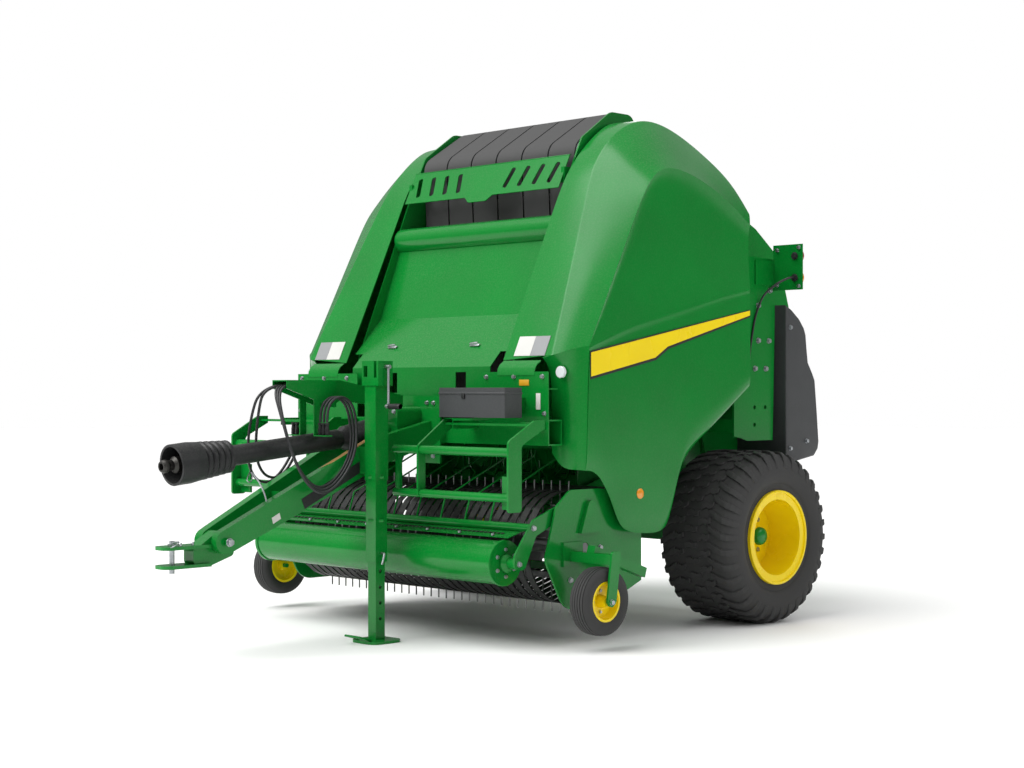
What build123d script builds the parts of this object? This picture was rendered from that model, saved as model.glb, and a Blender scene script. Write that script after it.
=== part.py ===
"""Towed round baler: chamber, drawbar, pickup, tailgate, side shields and running gear.

Sizes are in millimetres. Every sub-assembly is laid out from the hitch pin: y grows rearwards from
the pin, x to the machine's left and z up from the ground. On export the whole machine is moved so
that its origin lies on the ground under the middle of its length.
"""

import math
import os

from build123d import *

# ---- driving dimensions -------------------------------------------------------------------------
# chamber
WALL_IN = 620  # inner face of each chamber wall
WALL_T = 10
PIVOT_Y, PIVOT_Z = 2740, 2500  # tailgate hinge
BELT_COUNT = 6
BELT_W = 190
BELT_GAP = 12
BELT_T = 8
BELT_ROLLER_R = 92
# running gear
AXLE_Y, AXLE_Z = 3060, 472.5
TYRE_R, TYRE_IN, TYRE_OUT = 472.5, 800, 1300
RIM_SEAT_R, RIM_FLANGE_R = 216, 258
BEAD_INSET = 38
AXLE_BEAM = 110
SPINDLE_R = 30
# drawbar
PIN_R = 12.5
PIN_CLEARANCE = 0.05
ARM_FRONT_X, ARM_FRONT_Y, ARM_FRONT_Z = 70, 250, 545
ARM_SPLAY = math.degrees(math.atan(0.07))
ARM_W = 50
ARM_BACK_Y = 1500
BEAM_Y0, BEAM_Y1, BEAM_Z0, BEAM_Z1 = 1540, 1640, 1000, 1130
# jack
JACK_X, JACK_Y = 253, 1060
JACK_TUBE, JACK_BORE, JACK_LEG = 76, 60.16, 60
JACK_TUBE_Z0, JACK_TUBE_Z1 = 407, 1345
JACK_FOOT, JACK_FOOT_T = 200, 14
# driveline
PTO_SLOPE = 5.9
PTO_TIP_Y, PTO_TIP_Z = -60, 914
PTO_BORE_R = 17.5
PTO_CONE, PTO_END = 1090, 1325  # start and end of the guard's cone, measured from the yoke
PTO_TUBE_R = 43
# hoses
HOSE_D = 14
HOLDER_HALF, HOLDER_Y0, HOLDER_Y1, HOLDER_Z = 60, 640, 948, 1328
# pickup
REEL_Y, REEL_Z = 1750, 480
BAND_R, BAND_T, BAND_W = 287, 5, 43
BAND_END_Y = 2140
TINE_PITCH, TINE_COLUMNS, TINE_ROWS = 61, 32, 4
TINE_TIP_R, TINE_BAR_R, TINE_W = 335, 150, 6
ROTOR_Y, ROTOR_Z, ROTOR_R = 2400, 720, 250
ROTOR_DISCS, ROTOR_PITCH = 13, 94
SIDE_PLATE_X, SIDE_PLATE_T = 1045, 12
GUARD_ARM_T = 12
GUARD_ARM_X = SIDE_PLATE_X - 11 - GUARD_ARM_T
ROLLER_Y, ROLLER_Z, ROLLER_R = 1300, 430, 107.5
ROLLER_HALF = GUARD_ARM_X - 92
GUARD_HINGE_Y, GUARD_HINGE_Z = 1800, 745
GUARD_TUBE_Y, GUARD_TUBE_Z = 1400, 600
GAUGE_Y, GAUGE_Z, GAUGE_R = 1620, 245, 170
GAUGE_IN, GAUGE_OUT = 1210, 1330
# side shields
SHIELD_X, SHIELD_IN, SHIELD_T = 1110, 620, 6
SHIELD_REAR_Y = 3040
# tailgate
GATE_IN, GATE_T = 636, 10
GATE_REAR_Y = 4060
CYLINDER_X = 722
BARREL_PIN = (2620, 1700)  # y, z
ROD_PIN = (3335, 2080)

MACHINE_FRONT_Y = -75
MID_Y = (MACHINE_FRONT_Y + GATE_REAR_Y) / 2
SIDES = {"left": 1, "right": -1}


# ---- small builders -----------------------------------------------------------------------------
def save(name, shape):
    """Write one node, moved to the machine's origin."""
    export_step(Pos(0, -MID_Y, 0) * shape, f"parts/{name}.step")


def block(x0, x1, y0, y1, z0, z1):
    """Box between two corners."""
    return Pos((x0 + x1) / 2, (y0 + y1) / 2, (z0 + z1) / 2) * Box(x1 - x0, y1 - y0, z1 - z0)


def rod(start, end, radius):
    """Round bar between two points."""
    start, end = Vector(*start), Vector(*end)
    plane = Plane(origin=start, z_dir=end - start)
    return extrude(plane * Circle(radius), (end - start).length)


def hex_bar(start, end, radius):
    """Six-sided bar between two points."""
    start, end = Vector(*start), Vector(*end)
    plane = Plane(origin=start, z_dir=end - start)
    return extrude(plane * RegularPolygon(radius, 6), (end - start).length)


def rod_x(x0, x1, y, z, radius):
    """Round bar along x."""
    return rod((x0, y, z), (x1, y, z), radius)


def profile(points):
    """Closed outline from rows of y, z and corner radius."""
    corners = [(row[0], row[1]) for row in points]
    radii = [row[2] for row in points]
    if any(radii):
        return make_face(FilletPolyline(*corners, radius=radii, close=True))
    return make_face(Polyline(*corners, close=True))


def plate(points, x0, x1):
    """Plate whose outline lies in the y-z plane, between two x values."""
    face = points if isinstance(points, Sketch) else profile(points)
    return extrude(Plane.YZ.offset(x0) * face, x1 - x0)


def both(shape):
    """The shape and its mirror image across the machine's centre plane."""
    return shape, mirror(shape, about=Plane.YZ)


def sided(shape, side):
    """The shape built on the left, handed over to the asked side."""
    return shape if SIDES[side] > 0 else mirror(shape, about=Plane.YZ)


def bent_sheet(points, thickness, x0, x1):
    """Sheet folded along a path in the y-z plane, as a run of flat panels."""
    lower, upper = [], []
    for i, (y, z) in enumerate(points):
        before = Vector(*points[max(i - 1, 0)])
        after = Vector(*points[min(i + 1, len(points) - 1)])
        along = (after - before).normalized()
        lower.append((y + along.Y * thickness, z - along.X * thickness))
        upper.append((y, z))
    return plate(make_face(Polyline(*upper, *reversed(lower), close=True)), x0, x1)


def along_driveline(distance, lift=0):
    """Point on the driveline's axis, measured back from its yoke."""
    angle = math.radians(PTO_SLOPE)
    y = PTO_TIP_Y + distance * math.cos(angle) - lift * math.sin(angle)
    return (0, y, PTO_TIP_Z + distance * math.sin(angle) + lift * math.cos(angle))


def driveline_turn(rows):
    """Solid of revolution about the driveline from rows of distance and radius."""
    angle = math.radians(PTO_SLOPE)
    plane = Plane(
        origin=along_driveline(0),
        x_dir=(0, math.cos(angle), math.sin(angle)),
        z_dir=(-1, 0, 0),
    )
    face = plane * make_face(Polyline(*rows, close=True))
    axis = Axis(origin=along_driveline(0), direction=(0, math.cos(angle), math.sin(angle)))
    return revolve(face, axis)


def turned_x(rows, y, z, side=1):
    """Solid of revolution about an axis along x from rows of x and radius."""
    face = Plane.XZ * make_face(Polyline(*[(side * x, radius) for x, radius in rows], close=True))
    return Pos(0, y, z) * revolve(face, Axis.X)


# ---- chamber and frame --------------------------------------------------------------------------
# y, z, corner radius
WALL_OUTLINE = [
    (1640, 980, 0),
    (1640, 1330, 0),
    (1700, 1510, 0),
    (2075, 2400, 0),
    (2190, 2640, 60),
    (2420, 2800, 60),
    (2590, 2800, 60),
    (2690, 2640, 0),
    (2735, 2580, 0),
    (2735, 2420, 0),
    (3255, 740, 0),
    (3000, 560, 0),
    (2620, 560, 0),
    (2620, 960, 0),
    (2160, 960, 0),
]


def chamber_wall(side):
    """Chamber side wall with the tailgate's pivot boss, the gate cylinder's pin and a spring hanger."""
    body = plate(WALL_OUTLINE, WALL_IN, WALL_IN + WALL_T)
    # rotor bearing plate reaching down below the wall
    bearing = plate([(2160, 560, 40), (2640, 560, 0), (2640, 970, 0), (2160, 970, 0)],
                    WALL_IN, WALL_IN + WALL_T)
    boss = rod_x(WALL_IN, WALL_IN + WALL_T, PIVOT_Y - 30, PIVOT_Z, 70)
    hanger = rod_x(WALL_IN + WALL_T, 1030, 1990, 985, 15)
    y, z = BARREL_PIN
    pad = plate([(y - 60, z - 60, 20), (y - 60, z + 60, 20), (y + 60, z + 60, 20), (y + 60, z - 60, 20)],
                WALL_IN + WALL_T, WALL_IN + WALL_T + 14)
    cylinder_pin = rod_x(WALL_IN + WALL_T + 14, CYLINDER_X + 26, y, z, 14)
    body = body + bearing + boss + hanger + pad + cylinder_pin
    body -= rod_x(WALL_IN - 1, WALL_IN + WALL_T + 1, ROTOR_Y, ROTOR_Z, 36.05)
    body -= rod_x(WALL_IN - 1, WALL_IN + WALL_T + 1, PIVOT_Y, PIVOT_Z, 22)
    return sided(body, side)


def cross_tube():
    """Round tube that ties the two walls together above the apron."""
    tube = rod_x(-WALL_IN, WALL_IN, 2015, 2140, 70)
    return tube - rod_x(-WALL_IN - 1, WALL_IN + 1, 2015, 2140, 63)


def apron():
    """Folded front sheet below the cross tube, with its lower panel and rounded lip."""
    sheet = bent_sheet([(1553, 1205), (1575, 1246), (1575, 1400), (1840, 1680), (1985, 2075)],
                       5, -WALL_IN, WALL_IN)
    for side in SIDES.values():
        cut = block(551, 700, 1500, 1655, 1150, 1480)
        sheet -= cut if side > 0 else mirror(cut, about=Plane.YZ)
    for x in (-215, 330):
        sheet -= block(x - 40, x + 40, 1500, 1600, 1262, 1372)
    return sheet


def grille_bar():
    """Slotted bar between the front pillars, leaning back with them, on two end brackets."""
    lean = Plane(origin=(0, 2064, 2447), x_dir=(1, 0, 0), z_dir=(0, -0.9, 0.436))
    rows = [(-614, 102, 0), (614, 102, 0), (614, -100, 0), (110, -100, 20), (70, -135, 20),
            (-70, -135, 20), (-110, -100, 20), (-614, -100, 0)]
    face = profile(rows)
    for side in SIDES.values():
        for column in range(4):
            x = side * (200 + 112 * column)
            slant = 14 * side
            slot = Pos(x, 0) * Rot(0, 0, -slant) * RectangleRounded(34, 128, 12)
            face -= slot
    bar = extrude(lean * face, -5)
    bracket = block(596, WALL_IN, 2060, 2150, 2385, 2470)
    return bar + list(both(bracket))


BELT_ROLLERS = [(2260, 2550), (2505, 2705), (2640, 2330), (2330, 1290)]  # y, z


def belt_rollers():
    """The rollers that carry the bale-forming belts, wall to wall."""
    rollers = []
    for y, z in BELT_ROLLERS:
        rollers.append(rod_x(-WALL_IN + 10, WALL_IN - 10, y, z, BELT_ROLLER_R)
                       + rod_x(-WALL_IN, WALL_IN, y, z, 25))
    return Compound(rollers)


def belts():
    """Endless belts side by side round the rollers."""
    loop = make_face(Polyline(*BELT_ROLLERS, close=True))
    outer = offset(loop, amount=BELT_ROLLER_R + 0.5 + BELT_T, kind=Kind.ARC)
    inner = offset(loop, amount=BELT_ROLLER_R, kind=Kind.ARC)
    ring = outer - inner
    pitch = BELT_W + BELT_GAP
    first = -pitch * BELT_COUNT / 2 + BELT_GAP / 2
    return Compound([plate(ring, first + pitch * i, first + pitch * i + BELT_W)
                     for i in range(BELT_COUNT)])


def axle():
    """Square axle beam, its brackets up to the walls and its two spindles."""
    half = AXLE_BEAM / 2
    beam = block(-770, 770, AXLE_Y - half, AXLE_Y + half, AXLE_Z - half, AXLE_Z + half)
    bracket = plate([(2960, 417, 0), (3160, 417, 0), (3200, 800, 0), (2960, 800, 0)],
                    WALL_IN + WALL_T, WALL_IN + WALL_T + 12)
    spindle = rod_x(770, 1150, AXLE_Y, AXLE_Z, SPINDLE_R)
    return beam + list(both(bracket)) + list(both(spindle))


def rear_frame(side):
    """Rear post outside the tailgate, tied to the wall above and below, with the lamps' plate."""
    post = plate([(3110, 990, 0), (3470, 990, 0), (3490, 1700, 0), (3490, 2030, 0),
                  (2620, 2060, 0), (2620, 1960, 0), (3110, 1930, 0)], 930, 942)
    post -= rod_x(900, 960, AXLE_Y, AXLE_Z, 545)
    for y, z in ((3300, 1180), (3400, 1180), (3300, 1080)):
        post -= rod_x(900, 960, y, z, 12)
    rear_edge = block(890, 930, 3462, 3474, 1090, 1690)
    upper = block(WALL_IN + WALL_T, 930, 2630, 2690, 1965, 2055)
    lower = block(WALL_IN + WALL_T, 930, 3115, 3135, 1040, 1110)
    lamp_arm = block(942, 950, 3300, 3476, 1880, 2020)
    lamp_plate = block(946, 1150, 3470, 3476, 1850, 2110)
    return sided(post + rear_edge + upper + lower + lamp_arm + lamp_plate, side)


def front_beam():
    """Cross-member in front of the chamber, with an upright panel on each side of the apron."""
    beam = block(-1000, 1000, BEAM_Y0, BEAM_Y1, BEAM_Z0, BEAM_Z1)
    beam -= block(-1001, 1001, BEAM_Y0 + 8, BEAM_Y1 - 8, BEAM_Z0 + 8, BEAM_Z1 - 8)
    panel = block(470, 1000, BEAM_Y0, BEAM_Y0 + 6, BEAM_Z1, 1370)
    ledge = block(640, 1000, BEAM_Y0 + 6, 1610, 1280, 1286)
    beam += list(both(panel + ledge))
    for x in (500, 800):
        beam += block(x, x + 40, 1450, BEAM_Y0, 1180, 1240)
    return beam




# ---- drawbar ------------------------------------------------------------------------------------
def drawbar_arm(hollow=True):
    """One box arm in its own upright plane, splayed outwards to the rear."""
    reach = (ARM_BACK_Y - ARM_FRONT_Y) / math.cos(math.radians(ARM_SPLAY)) + 10
    rows = [(-20, 55, 0), (852, 475, 0), (reach, 572, 0), (reach, 447, 0), (952, 351, 0), (15, -58, 0)]
    arm = plate(rows, -ARM_W / 2, ARM_W / 2) + rod_x(-ARM_W / 2, ARM_W / 2, 0, 0, 58)
    inside = plate([(90, -19, 0), (90, 101, 0), (852, 468, 0), (reach + 1, 565, 0), (reach + 1, 454, 0),
                    (952, 358, 0)], -ARM_W / 2 + 6, ARM_W / 2 - 6)
    if hollow:
        arm -= inside
    return Pos(ARM_FRONT_X, ARM_FRONT_Y, ARM_FRONT_Z) * Rot(0, 0, -ARM_SPLAY) * arm


def drawbar():
    """Two splayed arms joined by a cross plate near their middle."""
    left, right = both(drawbar_arm())
    back = block(-1000, 1000, ARM_BACK_Y, 2000, 400, 1500)
    tie = block(-80, 80, 640, 660, 690, 770)
    return (left - back) + (right - back) + tie


def hitch_clevis():
    """Two-plate jaw on a solid neck bolted between the arms' front ends."""
    neck_half = ARM_FRONT_X - ARM_W / 2 - 5
    jaw = extrude(make_face(FilletPolyline((-60, -75), (60, -75), (60, 186), (-60, 186),
                                           radius=[45, 45, 0, 0], close=True)), 16)
    upper = Pos(0, 0, 520) * jaw
    lower = Pos(0, 0, 430) * jaw
    neck = plate([(95, 446, 20), (95, 520, 20), (140, 536, 0), (250, 605, 50), (330, 565, 30),
                  (330, 475, 20), (190, 430, 0)], -neck_half, neck_half)
    bolt_half = ARM_FRONT_X + ARM_W / 2 + 22
    bolt = rod_x(-bolt_half, bolt_half, ARM_FRONT_Y, ARM_FRONT_Z, 15)
    body = upper + lower + neck
    body -= rod((0, 0, 400), (0, 0, 600), PIN_R + PIN_CLEARANCE)
    return body, bolt


def hitch_pin():
    """Drawbar pin with a collar and a bent handle."""
    pin = rod((0, 0, 405), (0, 0, 560), PIN_R)
    collar = rod((0, 0, 536.2), (0, 0, 546), 21)
    handle = rod((-10, 0, 553), (85, -20, 560), 5)
    return pin + collar + handle


def jack_tube():
    """Square outer tube of the parking jack with its top bracket and side clamp."""
    half, bore = JACK_TUBE / 2, JACK_BORE / 2
    low = block(-half, half, -half, half, JACK_TUBE_Z0, JACK_TUBE_Z1)
    high = block(-half - 4, half + 4, -half - 4, half + 4, 822, JACK_TUBE_Z1)
    head = block(-58, 70, -half - 10, half + 10, 1300, 1425)
    head -= block(-45, -15, -80, 80, 1345, 1400)
    head -= block(35, 55, -80, 80, 1340, 1425)
    tube = low + high + head
    tube -= block(-bore, bore, -bore, bore, JACK_TUBE_Z0 - 1, 1330)
    tube = Pos(JACK_X, JACK_Y, 0) * tube
    clamp = block(ARM_FRONT_X + ARM_W, JACK_X - half, JACK_Y - 25, JACK_Y + 35, 850, 990)
    return tube + (clamp - drawbar_arm(hollow=False))


def jack_leg():
    """Inner leg with its pin holes, foot plate and wire handle."""
    half = JACK_LEG / 2
    leg = block(-half, half, -half, half, JACK_FOOT_T, 1000)
    leg -= block(-half + 6, half - 6, -half + 6, half - 6, JACK_FOOT_T + 6, 1001)
    for step in range(4):
        z = 120 + 80 * step
        leg -= rod((-half - 1, 0, z), (half + 1, 0, z), 9)
    foot = extrude(RectangleRounded(JACK_FOOT, JACK_FOOT, 50), JACK_FOOT_T)
    loop = (rod((-60, -70, 18), (-60, -150, 40), 6) + rod((40, -70, 18), (40, -150, 40), 6)
            + rod((-66, -150, 40), (46, -150, 40), 6))
    return Pos(JACK_X, JACK_Y, 0) * (leg + foot + loop)


def jack_crank():
    """Hanging crank rod with its grip, on the shaft at the jack's head."""
    x, y = JACK_X + 92, JACK_Y
    shaft = rod((JACK_X + 70, y, 1395), (x + 12, y, 1395), 10)
    arm = rod((x, y, 1403), (x, y, 1195), 7)
    grip = rod((x - 12, y, 1195), (x + 92, y, 1195), 13)
    return shaft + arm + grip


def gearbox():
    """Input gearbox behind the driveline, on its mounting plate."""
    case = block(-105, 105, 1330, 1500, 985, 1190)
    case = fillet(case.edges().filter_by(Axis.Y), 30)
    # input shaft with the bearing that carries the guard's rear tube
    bearing = PTO_CONE - 30
    hub = driveline_turn([(bearing, 0), (bearing, PTO_TUBE_R - 5.05), (bearing + 35, PTO_TUBE_R - 5.05),
                          (bearing + 35, 20), (1330, 20), (1330, 55), (1420, 55), (1420, 0)])
    return case + hub


def gearbox_plate():
    """Upright plate with an arched opening, in front of the chamber."""
    face = plate([(1500, 892, 0), (1512, 892, 0), (1512, 1246, 0), (1500, 1246, 0)], -250, 250)
    face -= rod((0, 1490, 850), (0, 1520, 850), 115)
    for side in SIDES.values():
        face += block(*sorted((side * 242, side * 250)), 1512, BEAM_Y0, 1000, 1120)
    return face


def pto_guard_rear():
    """Fixed rear half of the driveline's guard: cone and inner tube."""
    bore = PTO_TUBE_R - 5
    return driveline_turn([(560, bore), (560, PTO_TUBE_R), (PTO_CONE, PTO_TUBE_R), (PTO_CONE + 28, 62),
                           (PTO_END - 30, 80), (PTO_END, 80), (PTO_END, 76), (PTO_END - 32, 76),
                           (PTO_CONE + 32, 57), (PTO_CONE + 10, bore)])


def pto_guard_front():
    """Sliding front half of the guard: bell, ribbed sleeve and outer tube."""
    rows = [(60, 88), (60, 100), (150, 100), (205, 94)]
    for rib in range(5):
        start = 212 + 36 * rib
        rows += [(start, 84 - 2 * rib), (start + 8, 93 - 3 * rib), (start + 22, 93 - 3 * rib)]
    seat = PTO_TUBE_R + 0.05
    outer = PTO_TUBE_R + 7
    back = PTO_CONE - 15
    rows += [(398, outer), (back, outer), (back, outer - 4), (980, outer - 4), (980, seat), (900, seat),
             (900, outer - 4), (410, outer - 4), (410, 21.05), (390, 21.05), (380, 60), (140, 84)]
    return driveline_turn(rows)


def pto_yoke():
    """Splined quick-release yoke, cross joint and stub shaft."""
    body = driveline_turn([(0, PTO_BORE_R), (0, 26), (12, 32), (26, 32), (38, 26), (60, 26),
                           (74, 40), (110, 40), (118, 24), (150, 24), (162, 38), (200, 38),
                           (215, 21), (560, 21), (560, 0), (90, 0), (90, PTO_BORE_R)])
    return body


# ---- guard rails, tool box, hoses ---------------------------------------------------------------
def guard_rail(side):
    """Tubular guard beside the drawbar: two rails, two plates and the top cross plate."""
    outer = plate([(1150, 690, 15), (1240, 690, 15), (1240, 1010, 30), (1400, 1090, 0),
                   (1400, 1130, 0), (1330, 1130, 20), (1150, 1030, 30)], 1100, 1112)
    inner = plate([(1165, 740, 15), (1215, 740, 15), (1215, 960, 30), (1400, 1085, 0),
                   (1400, 1130, 0), (1350, 1130, 20), (1165, 1000, 30)], 440, 452)
    upper = rod_x(250, 1100, 1190, 977, 22.5)
    lower = rod_x(250, 1100, 1190, 757, 21)
    link = block(262, 292, 1180, 1200, 750, 985)
    top = block(440, 1112, 1350, 1400, 1100, 1112)
    foot = block(1010, 1100, 1208, 1220, 700, 860)
    struts = block(460, 500, 1400, BEAM_Y0, 1080, 1120) + block(940, 980, 1400, BEAM_Y0, 1080, 1120)
    frame = outer + inner + upper + lower + link + top + foot + struts
    return sided(frame, side)


def hose_holder():
    """Channel above the driveline that carries the hoses, with its spine and the coupler trays."""
    roof = block(-HOLDER_HALF, HOLDER_HALF, HOLDER_Y0, HOLDER_Y1 + 8, HOLDER_Z - 6, HOLDER_Z)
    cheek = plate([(HOLDER_Y0, HOLDER_Z, 0), (HOLDER_Y1 + 8, HOLDER_Z, 0), (HOLDER_Y1 + 8, 1190, 0),
                   (930, 1190, 20), (HOLDER_Y0, 1285, 0)], HOLDER_HALF - 6, HOLDER_HALF)
    leg = block(HOLDER_HALF - 6, HOLDER_HALF, 812, 852, TRAY_Z - 6, 1240)
    tray = block(HOLDER_HALF - 6, HOLDER_HALF + 96, 812, 852, TRAY_Z - 6, TRAY_Z)
    bulkhead = block(-HOLDER_HALF, HOLDER_HALF, HOLDER_Y1, HOLDER_Y1 + 8, 1190, HOLDER_Z)
    spine = plate([(HOLDER_Y1 + 2, 1190, 0), (HOLDER_Y1 + 2, HOLDER_Z, 0), (1010, HOLDER_Z, 0),
                   (1440, 1250, 0), (1440, 1190, 0), (1350, 1190, 0), (1010, 1225, 0)], -25, 25)
    return roof + bulkhead + spine + list(both(cheek + leg + tray))


# exit x, lowest x, coupler x, shift back, lift
HOSES = {
    "hose_1": (-42, -186, -135, 0, 0),
    "hose_2": (-21, -158, -105, 30, 24),
    "hose_3": (0, 166, 85, 12, 14),
    "hose_4": (21, 188, 112, 0, 0),
    "hose_5": (42, 212, 139, -10, -12),
}
TRAY_Z = 1050
# y, z, share of the exit's x, share of the coupler's x, share of the shift and lift
LEFT_ROUTE = [
    (840, 1300, 1.0, 0, 0), (725, 1303, 1.0, 0, 0), (626, 1299, 1.0, 0, 0), (562, 1252, 0.75, 0, 0.4),
    (550, 1165, 0.55, 0, 0.8), (551, 1070, 0.35, 0, 1), (559, 975, 0.2, 0, 1), (584, 886, 0.05, 0, 1),
    (636, 818, 0, 0, 1), (708, 802, 0, 0, 1), (770, 840, 0, 0.1, 0.8), (812, 902, 0, 0.4, 0.4),
    (832, 973, 0, 1, 0), (832, TRAY_Z - 6, 0, 1, 0),
]
RIGHT_ROUTE = [
    (840, 1300, 1.0, 0, 0), (720, 1304, 1.0, 0, 0), (626, 1299, 1.0, 0, 0), (576, 1250, 0.76, 0, 0.4),
    (570, 1166, 0.54, 0, 0.8), (575, 1070, 0.34, 0, 1), (591, 972, 0.18, 0, 1), (622, 880, 0.05, 0, 1),
    (672, 812, 0, 0, 1), (736, 776, 0, 0, 1), (803, 786, 0, 0, 1), (874, 836, 0, 0, 0.8),
    (936, 910, 0, 0.06, 0.5), (980, 1000, 0, 0.25, 0.3), (1004, 1096, 0, 0.65, 0.1), (1008, 1186, 0, 1, 0),
    (957, 1241, 0, 1, 0), (883, 1241, 0, 1, 0), (832, 1188, 0, 1, 0), (832, 1114, 0, 1, 0),
]


def hose_points(name):
    """Route of one hose from the holder's bulkhead to its coupler."""
    exit_x, low_x, end_x, shift, lift = HOSES[name]
    points = [(exit_x, HOLDER_Y1, 1300)]
    for y, z, at_exit, at_end, give in LEFT_ROUTE if low_x < 0 else RIGHT_ROUTE:
        x = exit_x * at_exit + end_x * at_end + low_x * (1 - at_exit - at_end)
        points.append((x, y + shift * give, z + lift * give))
    return [Vector(*point) for point in points]


def corner_radii(points):
    """Largest arc for each corner that its two runs allow."""
    radii = []
    for before, corner, after in zip(points, points[1:], points[2:]):
        into, out = corner - before, after - corner
        half_turn = math.radians(into.get_angle(out)) / 2
        radii.append(0.45 * min(into.length, out.length) / math.tan(half_turn))
    return radii


def tube_along(points, diameter):
    """Plain round tube along straight runs and arcs."""
    radii = corner_radii(points)
    path = FilletPolyline(*points, radius=radii)
    start = Plane(origin=points[0], z_dir=points[1] - points[0])
    tube = sweep(start * Circle(diameter / 2), path=path)
    share = tube.volume / (path.length * math.pi * diameter**2 / 4)
    print(f"length {path.length:.0f}, smallest arc {min(radii):.0f}, volume share {share:.4f}")
    return tube


def hose_couplers():
    """Quick couplers on the hoses' ends, parked on the holder's trays."""
    couplers = []
    for exit_x, low_x, end_x, shift, lift in HOSES.values():
        z0, z1 = (TRAY_Z, TRAY_Z + 62) if low_x < 0 else (TRAY_Z, 1114)
        couplers.append(rod((end_x, 832, z0), (end_x, 832, z1), 12))
    return Compound(couplers)


CABLE_D = 12
CABLE_POINTS = [(1095, 3462, 1918), (1095, 3424, 1918), (1050, 3386, 1892), (966, 3352, 1828),
                (948.4, 3296, 1700), (948.4, 3246, 1500), (948.4, 3236, 1350)]


def tool_box():
    """Dark box with a hollow inside, in front of the left front panel."""
    body = block(430, 905, 1330, 1450, 1140, 1262)
    return body - block(438, 897, 1338, 1442, 1148, 1263)


def tool_box_lid():
    """Lid with a recessed grip."""
    lid = block(430, 905, 1330, 1450, 1262.3, 1290)
    return lid - block(600, 735, 1350, 1405, 1274, 1291)


def tail_lamps():
    """Two round lamps on each cross plate, with their rear plugs."""
    lamps = []
    for sign in SIDES.values():
        for z in (1918, 2042):
            centre = sign * 1095
            lamps.append(rod((centre, 3476, z), (centre, 3500, z), 48)
                         + rod((centre, 3462, z), (centre, 3470, z), 22))
    return Compound(lamps)


# ---- side shields -------------------------------------------------------------------------------
def shield_blank(inset):
    """Solid inside the shield's skin; inset moves every outer face inwards."""
    x_out = SHIELD_X - inset
    rows = [
        (1575 + inset, 1400 - 60 * (inset > 0), 0),
        (2112 + inset * 1.1, 2545, 0),
        (2235 + inset, 2700 - inset, 60),
        (2400, 2790 - inset, 120),
        (2560, 2740 - inset, 120),
        (2800 - inset, 2575 - inset, 0),
        (2960 - inset, 2420 - inset, 40),
        (SHIELD_REAR_Y + 10 * (inset > 0), 2240 - inset * 2, 0),
        (SHIELD_REAR_Y + 10 * (inset > 0), 500, 0),
        (1660 + inset, 500, 0),
        (1660 + inset, 1400 - 60 * (inset > 0), 0),
    ]
    body = plate(rows, SHIELD_IN - 10 * (inset > 0), x_out)
    # front corner: a plane from the pillar's outer edge to the side face
    front = Plane(origin=(950 - inset * 0.6, 1606 + inset, 1500),
                  x_dir=(0, 0.4514, 0.8923), z_dir=(0.62, -0.70, 0.354))
    body = body - Pos(0, 0, 0) * (front * Pos(0, 0, 500) * Box(4000, 4000, 1000))
    crest = Plane(origin=(SHIELD_X, 2450 - inset, 2450 - inset), x_dir=(0, 0.915, -0.403),
                  z_dir=(0.7922, 0.2464, 0.5590))
    body = body - (crest * Pos(0, 0, 500) * Box(6000, 4000, 1000))
    return body


# lower edge of the skin: y, z, corner radius
SHIELD_FOOT = [
    (1000, 1400, 0),
    (1000, 873, 0),
    (1790, 868, 20),
    (1915, 719, 20),
    (1900, 593, 30),
    (1954, 550, 30),
    (2310, 525, 40),
    (2366, 594, 40),
    (2433, 908, 60),
    (2600, 1010, 60),
    (3100, 1346, 0),
    (3100, 300, 0),
    (900, 300, 0),
    (900, 1400, 0),
]


def side_shield(side):
    """Hollow outer shield: front pillar, outer skin, crest and lower apron."""
    skin = shield_blank(0) - shield_blank(SHIELD_T)
    skin -= plate(SHIELD_FOOT, 500, 1300)
    skin -= block(500, 905, 1400, 3300, 400, 1395)
    skin -= block(500, GATE_IN + GATE_T + 8, 2080, 3300, 1300, 2900)
    return sided(skin, side)


# ---- pickup -------------------------------------------------------------------------------------
def band_profile():
    """Outline of one stripper band: flat legs and a finely folded wrap round the reel's front."""
    folds = 12
    outer, inner = [(BAND_END_Y, REEL_Z + BAND_R)], [(BAND_END_Y, REEL_Z + BAND_R - BAND_T)]
    for i in range(folds + 1):
        angle = math.radians(90 + 180 * i / folds)
        across, up = math.cos(angle), math.sin(angle)
        outer.append((REEL_Y + BAND_R * across, REEL_Z + BAND_R * up))
        inner.append((REEL_Y + (BAND_R - BAND_T) * across, REEL_Z + (BAND_R - BAND_T) * up))
    low_z = REEL_Z - BAND_R + 107
    outer.append((BAND_END_Y, low_z))
    inner.append((BAND_END_Y, low_z + BAND_T))
    return make_face(Polyline(*outer, *reversed(inner), close=True))


def stripper_bands():
    """Spring-steel bands between the tine columns."""
    face = band_profile()
    bands = []
    for i in range(TINE_COLUMNS - 1):
        x = (i - (TINE_COLUMNS - 2) / 2) * TINE_PITCH
        bands.append(plate(face, x - BAND_W / 2, x + BAND_W / 2))
    return Compound(bands)


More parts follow.
